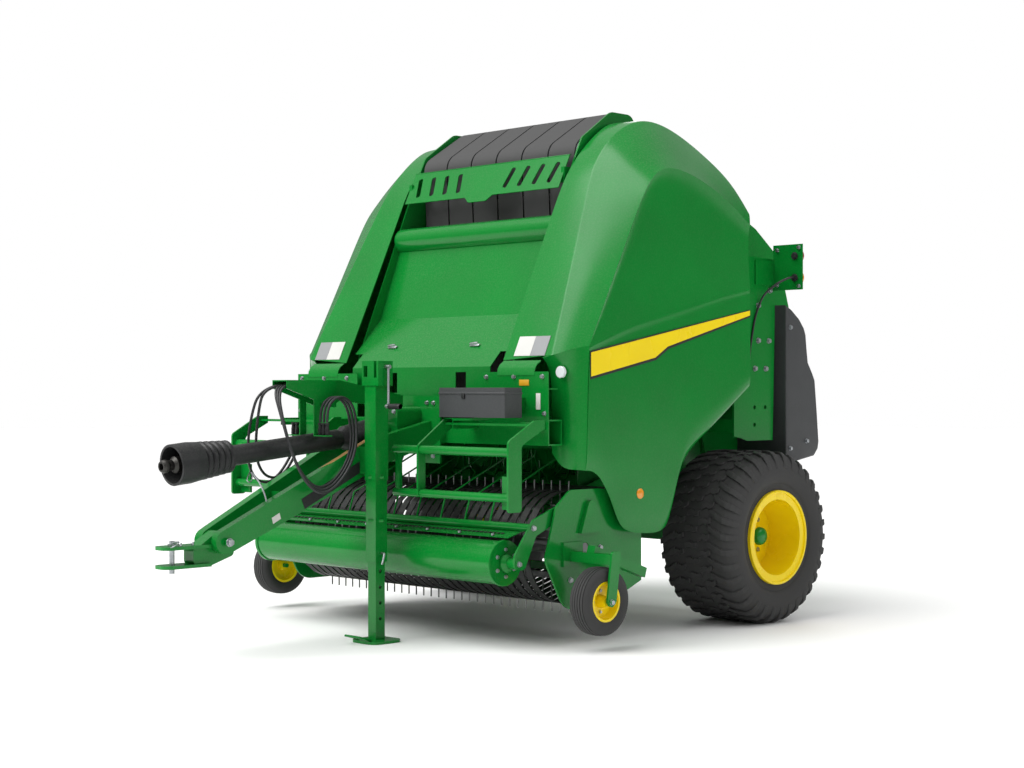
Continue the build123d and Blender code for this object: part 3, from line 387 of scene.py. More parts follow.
class Workbench:
    """Shapes pieces in edit mode and hands each one over to the body that it rides on."""

    @staticmethod
    def clear() -> None:
        """Leave edit mode and select nothing."""
        if bpy.context.object and bpy.context.object.mode != "OBJECT":
            bpy.ops.object.mode_set(mode="OBJECT")
        for piece in bpy.context.selected_objects:
            piece.select_set(False)

    @staticmethod
    def edit() -> None:
        """Enter edit mode with the whole mesh selected."""
        bpy.ops.object.mode_set(mode="EDIT")
        bpy.ops.mesh.select_all(action="SELECT")

    @staticmethod
    def leave() -> None:
        """Go back to object mode."""
        bpy.ops.object.mode_set(mode="OBJECT")

    def soften(self, offset: float, segments: int) -> None:
        """Bevel every edge of the active piece."""
        self.edit()
        bpy.ops.mesh.bevel(offset=offset, segments=segments, affect="EDGES")
        self.leave()

    def chain(self, name: str, rows: Sequence[Point]) -> Piece:
        """Draw a line of edges by extruding one vertex along rows of points.

        Args:
            name: the new piece's name.
            rows: the line's points in the row frame.

        Returns:
            The piece in edit mode with every edge selected.
        """
        self.clear()
        bpy.ops.mesh.primitive_plane_add(size=0.01, location=(0.0, 0.0, 0.0))
        piece = bpy.context.object
        piece.name = name
        piece.data.name = name
        self.edit()
        bpy.ops.mesh.merge(type="CENTER")
        bpy.ops.transform.translate(value=rows[0])
        for before, after in zip(rows, rows[1:]):
            step = Vector(after) - Vector(before)
            bpy.ops.mesh.extrude_region_move(TRANSFORM_OT_translate={"value": step})
        bpy.ops.mesh.select_all(action="SELECT")
        return piece

    def plate(self, name: str, rows: Sequence[Point], thickness: Point, bevel: float = 0.0) -> Piece:
        """Fill a closed outline and extrude it into a plate.

        Args:
            name: the new piece's name.
            rows: the outline's corners in order.
            thickness: the way and distance that the face is extruded.
            bevel: width of the rounded edges in metres.

        Returns:
            The piece in object mode.
        """
        piece = self.chain(name, rows)
        bpy.ops.mesh.edge_face_add()
        bpy.ops.mesh.extrude_region_move(TRANSFORM_OT_translate={"value": thickness})
        bpy.ops.mesh.select_all(action="SELECT")
        bpy.ops.mesh.normals_make_consistent(inside=False)
        if bevel:
            bpy.ops.mesh.bevel(offset=bevel, segments=2, affect="EDGES")
        self.leave()
        return piece

    def block(self, name: str, low: Point, high: Point, bevel: float) -> Piece:
        """Make a bevelled block between two corners.

        Args:
            name: the new piece's name.
            low: its lowest corner.
            high: its highest corner.
            bevel: width of the rounded edges in metres.

        Returns:
            The piece in object mode.
        """
        (x0, y0, z0), (x1, y1, z1) = low, high
        base = [(x0, y0, z0), (x1, y0, z0), (x1, y1, z0), (x0, y1, z0)]
        return self.plate(name, base, (0.0, 0.0, z1 - z0), bevel)

    def turned(
        self, name: str, centre: Point, rows: Sequence[Span], axis: Point = (1.0, 0.0, 0.0),
        steps: int = 48,
    ) -> Piece:
        """Spin a profile into a round piece.

        Args:
            name: the new piece's name.
            centre: a point on the axis.
            rows: the profile's points, each as distance along the axis and radius.
            axis: the axis that it turns about.
            steps: how many faces go round.

        Returns:
            The piece in object mode.
        """
        along = Vector(axis).normalized()
        out = along.orthogonal().normalized()
        origin = Vector(centre)
        self.chain(name, [tuple(origin + along * a + out * max(r, 0.0)) for a, r in rows])
        bpy.ops.mesh.spin(steps=steps, angle=math.tau, center=centre, axis=tuple(along))
        bpy.ops.mesh.select_all(action="SELECT")
        bpy.ops.mesh.remove_doubles(threshold=0.00002)
        bpy.ops.mesh.normals_make_consistent(inside=False)
        self.leave()
        return bpy.context.object

    def rod(self, name: str, rows: Sequence[Point], radius: float, round_off: bool = True, sides: int = 3) -> Piece:
        """Sweep a round bar along a line.

        Args:
            name: the new piece's name.
            rows: the line's points.
            radius: the bar's radius in metres.
            round_off: whether the corners are smooth.
            sides: the bevel resolution, each step adding faces round the bar.

        Returns:
            The mesh piece in object mode.
        """
        self.clear()
        piece = draw_curve(name, rows, radius, sides, 6, round_off)
        bpy.context.view_layer.objects.active = piece
        piece.select_set(True)
        bpy.ops.object.convert(target="MESH")
        return bpy.context.object

    def spring(self, name: str, a: Point, b: Point, radius: float, wire: float, turns: int) -> Piece:
        """Wind a coil spring between two points.

        Args:
            name: the new piece's name.
            a: one end of its axis.
            b: the other end.
            radius: of the coil, to the wire's middle.
            wire: the wire's radius.
            turns: how many turns it has.

        Returns:
            The mesh piece in object mode.
        """
        low, high = Vector(a), Vector(b)
        along = (high - low).normalized()
        side = along.orthogonal().normalized()
        other = along.cross(side)
        corners = 12
        count = turns * corners
        rows = []
        for i in range(count + 1):
            turn = i / corners * math.tau
            out = (side * math.cos(turn) + other * math.sin(turn)) * radius
            rows.append(tuple(low + (high - low) * (i / count) + out))
        return self.rod(name, rows, wire, round_off=False, sides=1)

    def bolt(self, name: str, head: Point, axis: Point, size: float = 0.012) -> Piece:
        """Make a hexagon bolt head on its washer.

        Args:
            name: the new piece's name.
            head: the middle of the seat that it presses on.
            axis: the way that the head points.
            size: the thread's diameter in metres.

        Returns:
            The piece in object mode.
        """
        way = Vector(axis).normalized()
        ring = [(0.0, 0.0), (0.0, size), (size * 0.12, size * 1.05), (size * 0.2, size), (size * 0.2, 0.0)]
        washer = self.turned(name + "_washer", head, ring, axis, 20)
        self.clear()
        turn = way.to_track_quat("Z", "Y").to_euler()
        seat = Vector(head) + way * size * 0.55
        bpy.ops.mesh.primitive_cylinder_add(
            vertices=6, radius=size * 0.88, depth=size * 0.7, location=seat, rotation=turn
        )
        piece = bpy.context.object
        piece.name = name
        self.soften(size * 0.07, 1)
        return self.join(name, [piece, washer])

    def settle(self, piece: Piece) -> Piece:
        """Put the piece's place into its mesh, so that its object sits unturned at the origin."""
        self.clear()
        bpy.context.view_layer.objects.active = piece
        piece.select_set(True)
        bpy.ops.object.transform_apply(location=True, rotation=True, scale=True)
        return piece

    def join(self, name: str, parts: Sequence[Piece]) -> Piece:
        """Join several pieces into one.

        Args:
            name: the joined piece's name.
            parts: the pieces, of which the first one stays.

        Returns:
            The joined piece.
        """
        for part in parts:
            self.settle(part)
        self.clear()
        for part in parts:
            part.select_set(True)
        bpy.context.view_layer.objects.active = parts[0]
        if len(parts) > 1:
            bpy.ops.object.join()
        parts[0].name = name
        parts[0].data.name = name
        return parts[0]

    def copy(self, piece: Piece, name: str, matrix: Matrix) -> Piece:
        """Copy a piece with its own mesh to another place.

        Args:
            piece: the pattern piece, already settled.
            name: the copy's name.
            matrix: where the copy goes, against the pattern.

        Returns:
            The copy.
        """
        other = piece.copy()
        other.data = piece.data.copy()
        other.name = name
        other.data.name = name
        bpy.context.scene.collection.objects.link(other)
        other.data.transform(matrix)
        return other

    def hand_over(
        self, piece: Piece, body: str, finish: Finish, smooth: float = 35.0, replaces: Sequence[str] = (),
    ) -> Piece:
        """Give a finished piece its smoothing, finish and body.

        Args:
            piece: the finished mesh.
            body: the CAD body that it rides on.
            finish: its finish.
            smooth: the widest angle in degrees that is shaded smooth.
            replaces: the CAD nodes that it stands for.

        Returns:
            The piece.
        """
        self.dress(piece, finish, smooth)
        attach(piece, body)
        if replaces:
            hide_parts(*replaces)
        return piece

    def fit(
        self, name: str, body: str, finish: Finish, centre: Point, rows: Sequence[Span], axis: Point,
        steps: int, smooth: float = 35.0, replaces: Sequence[str] = (),
    ) -> Piece:
        """Turn a piece and hand it over.

        Args:
            name: the new piece's name.
            body: the CAD body that it rides on.
            finish: its finish.
            centre: a point on the axis.
            rows: the profile's points, each as distance along the axis and radius.
            axis: the axis that it turns about.
            steps: how many faces go round.
            smooth: the widest angle in degrees that is shaded smooth.
            replaces: the CAD nodes that it stands for.

        Returns:
            The piece.
        """
        return self.hand_over(self.turned(name, centre, rows, axis, steps), body, finish, smooth, replaces)

    def dress(self, piece: Piece, finish: Finish, smooth: float = 35.0) -> Piece:
        """Smooth a finished mesh up to an angle in degrees and give it its finish."""
        self.settle(piece)
        bpy.ops.object.shade_smooth_by_angle(angle=math.radians(smooth))
        piece.data.materials.clear()
        piece.data.materials.append(finish.material())
        log.info("%s: %d faces", piece.name, len(piece.data.polygons))
        return piece


bench = Workbench()
SIDES = {"left": 1, "right": -1}


@dataclass
class Dressing:
    """Gives every CAD node its finish."""

    plan: dict[Finish, tuple[str, ...]] = field(
        default_factory=lambda: {
            YELLOW: ("main_rim_left", "main_rim_right", "gauge_rim_left", "gauge_rim_right"),
            TYRE: ("main_tyre_left", "main_tyre_right", "gauge_tyre_left", "gauge_tyre_right"),
            BELT: ("belts",),
            BLACK: ("pto_guard_rear", "pto_guard_front", "hose_couplers"),
            GREY: ("tool_box", "tool_box_lid", "gate_covers"),
            ZINC: ("belt_rollers", "hitch_pin", "jack_crank"),
            SPRING: ("tine_reel", "lift_springs"),
            DARK_STEEL: ("pto_yoke",),
            BAND: ("stripper_bands",),
            CHROME: ("cylinder_rod_left", "cylinder_rod_right"),
            LENS: ("tail_lamps",),
            HOSE: ("hose_1", "hose_2", "hose_3", "hose_4", "hose_5", "lamp_cable"),
        }
    )

    def dress(self) -> None:
        """Dress the nodes in the plan, and all others in the green enamel."""
        planned = {name: finish for finish, names in self.plan.items() for name in names}
        for name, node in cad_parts.items():
            finish = planned.get(name, GREEN)
            if not node.data.materials:
                node.data.materials.append(finish.material())
            for index in range(len(node.data.materials)):
                node.data.materials[index] = finish.material()
            log.info("%s in %s", name, finish.name)
        bench.clear()


@dataclass
class HydraulicHoses:
    """Five hoses that loop forward from the holder and back to its couplers."""

    diameter: float = 0.014
    bore_y: float = 948.0
    bore_z: float = 1300.0
    seat_y: float = 832.0
    seat_low: float = 1050.0
    seat_high: float = 1112.0
    # exit x, lowest x, coupler x, shift back, lift, length in metres
    hoses: dict[str, tuple[float, float, float, float, float, float]] = field(
        default_factory=lambda: {
            "hose_1": (-42, -186, -135, 0, 0, 1.236),
            "hose_2": (-21, -158, -105, 30, 24, 1.174),
            "hose_3": (0, 166, 85, 12, 14, 1.744),
            "hose_4": (21, 188, 112, 0, 0, 1.774),
            "hose_5": (42, 212, 139, -10, -12, 1.802),
        }
    )
    # y, z, share of the exit's x, share of the coupler's x, share of the shift
    left_route: tuple[tuple[float, ...], ...] = (
        (840, 1300, 1, 0, 0), (725, 1303, 1, 0, 0), (626, 1299, 1, 0, 0), (562, 1252, 0.75, 0, 0.4),
        (550, 1165, 0.55, 0, 0.8), (551, 1070, 0.35, 0, 1), (559, 975, 0.2, 0, 1), (584, 886, 0.05, 0, 1),
        (636, 818, 0, 0, 1), (708, 802, 0, 0, 1), (770, 840, 0, 0.1, 0.8), (812, 902, 0, 0.4, 0.4),
        (832, 973, 0, 1, 0), (832, 1044, 0, 1, 0),
    )
    right_route: tuple[tuple[float, ...], ...] = (
        (840, 1300, 1, 0, 0), (720, 1304, 1, 0, 0), (626, 1299, 1, 0, 0), (576, 1250, 0.76, 0, 0.4),
        (570, 1166, 0.54, 0, 0.8), (575, 1070, 0.34, 0, 1), (591, 972, 0.18, 0, 1), (622, 880, 0.05, 0, 1),
        (672, 812, 0, 0, 1), (736, 776, 0, 0, 1), (803, 786, 0, 0, 1), (874, 836, 0, 0, 0.8),
        (936, 910, 0, 0.06, 0.5), (980, 1000, 0, 0.25, 0.3), (1004, 1096, 0, 0.65, 0.1), (1008, 1186, 0, 1, 0),
        (957, 1241, 0, 1, 0), (883, 1241, 0, 1, 0), (832, 1188, 0, 1, 0), (832, 1114, 0, 1, 0),
    )

    def route(self, name: str) -> list[Point]:
        """Return one hose's points.

        Args:
            name: the hose's node.

        Returns:
            The points from its bore in the holder to its coupler.
        """
        out, low, end, shift, lift, _ = self.hoses[name]
        rows = self.left_route if out < 0 else self.right_route
        points = [at(out, self.bore_y, self.bore_z)]
        for y, z, at_exit, at_end, give in rows:
            x = out * at_exit + end * at_end + low * (1 - at_exit - at_end)
            points.append(at(x, y + shift * give, z + lift * give))
        return points

    def coupler(self, name: str, x: float) -> Piece:
        """Turn one hose's quick coupler, with its locking ring and grip grooves."""
        low, high, reach = self.seat_low, self.seat_high, 0.0119
        rows = [(0.0, 0.0), (0.0, reach * 0.8), (0.002, reach * 0.9)]
        for ring in range(5):
            step = 0.008 + ring * 0.005
            rows += [(step, reach * 0.9), (step + 0.001, reach), (step + 0.003, reach), (step + 0.004, reach * 0.9)]
        end = (high - low) * MM
        rows += [(end - 0.016, reach * 0.78), (end - 0.012, reach * 0.78)]
        rows += [(end - 0.010, reach), (end, reach), (end, 0.0)]
        seat = at(x, self.seat_y, low)
        return bench.fit(name, "chassis", BLACK, seat, rows, (0, 0, 1), 24, replaces=("hose_couplers",))

    def build(self) -> None:
        for name, row in self.hoses.items():
            points = self.route(name)
            coupler = self.coupler(name.replace("hose", "coupler"), row[2])
            hose = draw_curve(name + "_cover", points, self.diameter / 2, 4, 8)
            hose.data.materials.append(HOSE.material())
            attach(hose, "chassis")
            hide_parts(name)
            log.info("%s: %d points", name, len(points))


def rails_sheet(name: str, rails: Sequence[Sequence[Point]]) -> Piece:
    """Draw a sheet by extruding one rail of edges to the next.

    Args:
        name: the new piece's name.
        rails: lines with the same number of points, side by side.

    Returns:
        The sheet in object mode.
    """
    piece = bench.chain(name, rails[0])
    for before, after in zip(rails, rails[1:]):
        bpy.ops.mesh.extrude_edges_move()
        bench.leave()
        for vertex in piece.data.vertices:
            if vertex.select:
                index = min(range(len(before)), key=lambda i: (Vector(before[i]) - vertex.co).length)
                vertex.co = after[index]
        bpy.ops.object.mode_set(mode="EDIT")
    bench.leave()
    return piece


@dataclass
class SideShields:
    """Outer side shields: pillar, crown that rolls over the top, dished flank and cheek."""

    side_x: float = 1110.0
    thickness: float = 5.0
    foot_y: tuple[float, ...] = (1700, 1795, 1908, 1960, 2120, 2300, 2362, 2440, 2640, 3036)
    foot_z: tuple[float, ...] = (875, 872, 700, 560, 538, 530, 610, 925, 1035, 1300)
    # inner edge, first crease or crest, second crease: x, y, z per station
    inner: Rows = (
        (630, 1592, 1430), (630, 1812, 1900), (630, 1996, 2300), (640, 2090, 2490), (660, 2290, 2690),
        (660, 2450, 2762), (660, 2620, 2690), (660, 2800, 2560), (660, 2925, 2450), (660, 2975, 2350),
    )
    crest: Rows = (
        (969, 1602, 1453), (905, 1812, 1905), (850, 1980, 2262), (812, 2085, 2485), (800, 2255, 2660),
        (842, 2450, 2758), (900, 2650, 2690), (970, 2835, 2555), (1048, 2955, 2422), (1104, 3038, 2252),
    )
    arch: Rows = (
        (1109, 1725, 1500), (1109, 1925, 1885), (1109, 2085, 2195), (1109, 2165, 2335), (1109, 2250, 2425),
        (1109, 2370, 2455), (1109, 2540, 2425), (1109, 2700, 2370), (1109, 2845, 2308), (1109, 3038, 2190),
    )
    ridge_z: tuple[float, ...] = (1488, 1560, 1611, 1628, 1650, 1677, 1720, 1762, 1795, 1832)
    # share from the crest to the arch, and what the rail stands off the straight line
    bulges: tuple[tuple[float, Point], ...] = ((0.05, (0, 0, 0)), (0.4, (4, -3, 4)), (0.9, (1, -1, 1)))
    # share from the arch to the ridge, and depth of the dish
    dishes: Profile = ((0.06, 9), (0.25, 20), (0.6, 16), (0.93, 4))
    cheek: tuple[Rows, ...] = (
        ((1109, 1725, 1500), (1110, 1716, 1400), (1110, 1708, 1150), (1108, 1702, 940), (1104, 1700, 875)),
        ((1060, 1668, 1484), (1066, 1674, 1400), (1066, 1672, 1150), (1062, 1670, 940), (1060, 1670, 880)),
        ((969, 1602, 1453), (985, 1650, 1385), (985, 1655, 1150), (985, 1655, 960), (985, 1656, 880)),
        ((912, 1592, 1440), (912, 1656, 1385), (912, 1660, 1150), (912, 1660, 1010), (912, 1660, 960)),
    )
    # name, finish, stand-off, y and z round the film
    films: tuple[tuple[str, Finish, float, Profile], ...] = (
        ("stripe_edge", BLACK, 0.9, (
            (1729, 1330), (2236, 1434), (2336, 1493), (3036, 1681), (3036, 1722), (1729, 1473),
        )),
        ("stripe", YELLOW, 1.6, (
            (1735, 1345), (2230, 1447), (2330, 1506), (3034, 1690), (3034, 1717), (1735, 1466),
        )),
    )

    def place(self, rows: Iterable[Point]) -> list[Point]:
        """Return rows of millimetres as points of the row frame."""
        return [at(*row) for row in rows]

    def between(self, first: Sequence[Point], second: Sequence[Point], share: float, push: Point) -> list[Point]:
        """Return a rail between two others.

        Args:
            first: one rail in millimetres.
            second: the other rail.
            share: how far it lies from the first one towards the second.
            push: how far it stands off the straight line between them.

        Returns:
            The rail in millimetres.
        """
        return [tuple(a[i] + (b[i] - a[i]) * share + push[i] for i in range(3)) for a, b in zip(first, second)]

    def flank_rails(self) -> list[list[Point]]:
        """Return the flank's rails from the arch down to the foot."""
        ridge = [(self.side_x, a[1], z) for a, z in zip(self.arch, self.ridge_z)]
        foot = [(self.side_x, y, z) for y, z in zip(self.foot_y, self.foot_z)]
        below = [(self.side_x - 5, y, z - 26) for (_, y, z) in ridge]
        rails = [list(self.arch)]
        for share, dish in self.dishes:
            straight = self.between(self.arch, ridge, share, (0, 0, 0))
            rails.append([
                (x - dish * min(1.0, (a[2] - z) / 500), y, height)
                for (x, y, height), a, z in zip(straight, self.arch, self.ridge_z)
            ])
        rails += [ridge, below]
        for share in (0.12, 0.4, 0.75, 0.96):
            rails.append(self.between(below, foot, share, (4 if share > 0.1 else 0, 0, 0)))
        rails.append(self.between(foot, foot, 0, (-6, 0, 0)))
        return rails

    def skin(self, side: str) -> Piece:
        """Model one shield's skin and round it off.

        Args:
            side: left or right.

        Returns:
            The finished piece.
        """
        crown = [self.inner, self.between(self.inner, self.crest, 0.5, (0, -1, 2))]
        crown += [self.between(self.inner, self.crest, 0.97, (0, 0, 0)), self.crest]
        crown += [self.between(self.crest, self.arch, share, push) for share, push in self.bulges]
        sheets = {"crown": [*crown, self.arch], "flank": self.flank_rails(), "cheek": self.cheek}
        whole = []
        for piece in [rails_sheet(name, [self.place(r) for r in rails]) for name, rails in sheets.items()]:
            bench.clear()
            bpy.context.view_layer.objects.active = piece
            piece.select_set(True)
            smooth = piece.modifiers.new("round", "SUBSURF")
            smooth.levels = 3
            smooth.render_levels = 3
            smooth.boundary_smooth = "PRESERVE_CORNERS"
            bpy.ops.object.modifier_apply(modifier="round")
            whole.append(piece)
        shell = bench.join(f"shield_skin_{side}", whole)
        bench.edit()
        bpy.ops.mesh.remove_doubles(threshold=0.0012)
        bpy.ops.mesh.normals_make_consistent(inside=False)
        bench.leave()
        wall = shell.modifiers.new("wall", "SOLIDIFY")
        wall.thickness = self.thickness * MM
        wall.offset = -1.0
        bpy.ops.object.modifier_apply(modifier="wall")
        if side == "right":
            shell.data.transform(Matrix.Diagonal((-1.0, 1.0, 1.0, 1.0)))
            shell.data.flip_normals()
        return shell

    def trim(self, side: str) -> None:
        """Add the stripe with its dark edge, and the reflectors."""
        sign, body = SIDES[side], f"side_shield_{side}"
        for name, finish, lift, rows in self.films:
            outline = [at(sign * (self.side_x - 1), y, z) for y, z in rows]
            film = bench.plate(f"{name}_{side}", outline, (sign * (1 + lift) * MM, 0.0, 0.0))
            bench.hand_over(film, body, finish)
        disc = [(0, 0.0), (0, 0.027), (0.006, 0.027), (0.008, 0.024), (0.008, 0.0)]
        spot = at(sign * (self.side_x - 1), 2106, 744)
        bench.fit(f"amber_reflector_{side}", body, AMBER, spot, disc, (sign, 0, 0), 32)
        eye = [(0, 0.0), (0, 0.030), (0.014, 0.030), (0.017, 0.027), (0.017, 0.0)]
        bench.fit(f"white_reflector_{side}", body, PEARL, at(sign * 1000, 1640, 1368), eye, (0, -1, 0), 32)

    def build(self) -> None:
        """Build both shields."""
        for side in SIDES:
            bench.hand_over(self.skin(side), f"side_shield_{side}", GREEN, 24.0, (f"side_shield_{side}",))
            self.trim(side)


def ring_copies(pattern: Piece, name: str, centre: Point, count: int, start: float = 0.0) -> Piece:
    """Copy a piece round a crosswise axle and join the copies.

    Args:
        pattern: the piece at its first place.
        name: the joined ring's name.
        centre: a point on the axis.
        count: how many there are in the ring.
        start: the first copy's turn in radians.

    Returns:
        The joined ring.
    """
    bench.settle(pattern)
    hub = Matrix.Translation(centre)
    ring = []
    for index in range(count):
        turn = hub @ Matrix.Rotation(start + index * math.tau / count, 4, "X") @ hub.inverted()
        ring.append(bench.copy(pattern, f"{name}_{index}", turn))
    bpy.data.objects.remove(pattern)
    return bench.join(name, ring)


@dataclass
class MainWheels:
    """Flotation tyres with their tread, and the rims' bolts and hubs."""

    axle: Point = (0.0, 3060.0, 472.5)
    inner: float = 800.0
    outer: float = 1300.0
    radius: float = 472.5
    rim_flange: float = 258.0
    lugs: int = 34
    bolts: int = 8
    bolt_circle: float = 118.0
    disc_face: float = 23.0
    # along the axle and radius, in metres
    hub: Profile = (
        (-0.004, 0.0), (-0.004, 0.074), (0.012, 0.076), (0.018, 0.073), (0.022, 0.058), (0.086, 0.050),
        (0.100, 0.047), (0.107, 0.040), (0.110, 0.028), (0.112, 0.0),
    )
    # along the axle, and out from the rim's flange, in metres
    bead: Profile = (
        (0.0, -0.004), (0.004, -0.0005), (0.009, -0.001), (0.012, -0.006), (0.010, -0.014), (0.0, -0.016),
        (0.0, -0.004),
    )

    def middle(self) -> float:
        """Return the x of the tyre's middle in millimetres."""
        return (self.inner + self.outer) / 2

    def centre(self) -> Point:
        """Return the axle's place on the machine's centre line."""
        return (0.0, row_y(self.axle[1]), self.axle[2] * MM)

    def carcass(self, side: str) -> Piece:
        """Turn the tyre's body under its tread."""
        sign, r = SIDES[side], self.radius
        rows = [
            (-214, 218), (-221, 262), (-227, 290), (-236, 305), (-249, 345), (-247, 385), (-238, 415), (-222, 436),
            (-205, r - 20), (-150, r - 13), (-60, r - 10), (60, r - 10), (150, r - 13), (205, r - 20), (222, 436),
            (238, 415), (247, 385), (249, 345), (236, 305), (229, 296), (225, 292), (223, 262), (214, 218),
        ]
        profile = [((sign * self.middle() + a) * MM, b * MM) for a, b in rows]
        return bench.turned(f"carcass_{side}", self.centre(), profile, steps=96)

    def shoulder(self, side: str, edge: int, start: float) -> Piece:
        """Model one rounded shoulder lug and copy it round one edge of the tread."""
        sign, mid, top = SIDES[side], self.middle(), self.axle[2] + self.radius
        rows = [
            (108, -9), (112, -1.5), (160, -0.5), (200, -5), (226, -22), (242, -52), (249.5, -92), (246, -96),
            (236, -60), (200, -24), (150, -16),
        ]
        y0 = row_y(self.axle[1]) - 0.017
        outline = [((sign * mid + edge * a) * MM, y0, (top + b) * MM) for a, b in rows]
        lug = bench.plate(f"lug_{side}", outline, (0.0, 0.034, 0.0))
        bench.soften(0.0035, 2)
        for vertex in lug.data.vertices:
            along = abs(vertex.co.x - sign * mid * MM) - 0.108
            vertex.co.y += 0.05 * max(0.0, 1 - along / 0.12) ** 1.5 - 0.02
        return ring_copies(lug, f"shoulder_{side}_{edge}", self.centre(), self.lugs, start)

    def centre_blocks(self, side: str, x: float, lean: float, start: float) -> Piece:
        """Model one zigzag block and copy it round the crown."""
        mid, y, z = SIDES[side] * self.middle(), row_y(self.axle[1]), self.axle[2] + self.radius - 15
        zig = [
            (-38, -26 + lean), (-8, -14), (10, -24), (40, -12 - lean), (40, 16 - lean), (12, 6), (-8, 16),
            (-38, 6 + lean),
        ]
        outline = [((mid + x + a) * MM, y + b * MM, z * MM) for a, b in zig]
        block = bench.plate(f"block_{side}", outline, (0.0, 0.0, 0.0148))
        bench.soften(0.002, 1)
        return ring_copies(block, f"crown_{side}_{int(x)}", self.centre(), self.lugs, start)

    def tyre(self, side: str) -> None:
        """Build one whole tyre."""
        step = math.tau / self.lugs
        parts = [self.carcass(side)]
        for edge, start in ((1, 0.0), (-1, step / 2)):
            parts.append(self.shoulder(side, edge, start))
        for row, x in enumerate((-88, 0, 88)):
            parts.append(self.centre_blocks(side, x, 4 if row % 2 else -4, step * (0.25 + 0.5 * (row % 2))))
        whole = bench.join(f"tread_tyre_{side}", parts)
        bench.hand_over(whole, f"main_wheel_{side}", TYRE, 38.0, (f"main_tyre_{side}",))

    def rim_fittings(self, side: str) -> None:
        """Add the wheel bolts, the hub cap, the rim's lip and the valve."""
        sign, body, flange = SIDES[side], f"main_wheel_{side}", self.rim_flange * MM
        disc = self.middle() + self.disc_face
        _, y, z = self.axle
        bolt = bench.bolt("wheel_bolt", at(sign * disc, y, z + self.bolt_circle), (sign, 0, 0), 0.016)
        bench.hand_over(ring_copies(bolt, f"wheel_bolts_{side}", self.centre(), self.bolts), body, ZINC)
        bench.fit(f"hub_cap_{side}", body, GREEN, at(sign * disc, y, z), self.hub, (sign, 0, 0), 40)
        bead = [(along, flange + out) for along, out in self.bead]
        bench.fit(f"rim_lip_{side}", body, YELLOW, at(sign * (self.outer - 20), y, z), bead, (sign, 0, 0), 72, 50)
        stem = [at(sign * (disc + 30), y - 150, z - 118), at(sign * (disc + 62), y - 146, z - 114)]
        bench.hand_over(bench.rod(f"valve_{side}", stem, 0.005, False), body, BLACK)

    def build(self) -> None:
        """Build both main wheels."""
        for side in SIDES:
            self.tyre(side)
            self.rim_fittings(side)


@dataclass
class GaugeWheels:
    """Small ribbed tyres beside the pickup."""

    hub: Point = (0.0, 1620.0, 245.0)
    inner: float = 1210.0
    outer: float = 1330.0
    radius: float = 170.0
    ribs: int = 5

    def build(self) -> None:
        """Build both tyres and their hub bolts."""
        mid, half, r = (self.inner + self.outer) / 2, (self.outer - self.inner) / 2, self.radius
        rows = [
            (-half + 13, r - 71), (-half + 6, r - 62), (-half + 1, r - 44), (-half + 0.5, r - 30),
            (-half + 8, r - 14), (-half + 20, r - 4),
        ]
        wide = (2 * half - 40) / self.ribs
        for rib in range(self.ribs):
            left = -half + 20 + rib * (2 * half - 40) / self.ribs
            crown = r - 0.8 - 3.0 * abs(rib - 2) ** 2 / 4
            rows += [(left + 2, crown), (left + wide - 2.5, crown)]
            rows += [(left + wide - 1.8, crown - 4), (left + wide - 0.2, crown - 4)]
        rows += [
            (half - 18, r - 5), (half - 8, r - 14), (half - 0.5, r - 30), (half - 1, r - 44), (half - 6, r - 62),
            (half - 13, r - 71),
        ]
        _, y, z = self.hub
        for side, sign in SIDES.items():
            body = f"gauge_wheel_{side}"
            profile = [((sign * mid + a) * MM, b * MM) for a, b in rows]
            tyre = bench.turned(f"ribbed_tyre_{side}", at(0, y, z), profile, steps=72)
            bench.hand_over(tyre, body, TYRE, 40, (f"gauge_tyre_{side}",))
            bolt = bench.bolt("gauge_bolt", at(sign * (self.inner + 66), y, z + 52), (sign, 0, 0), 0.008)
            bench.hand_over(ring_copies(bolt, f"gauge_bolts_{side}", at(0, y, z), 4), body, ZINC)


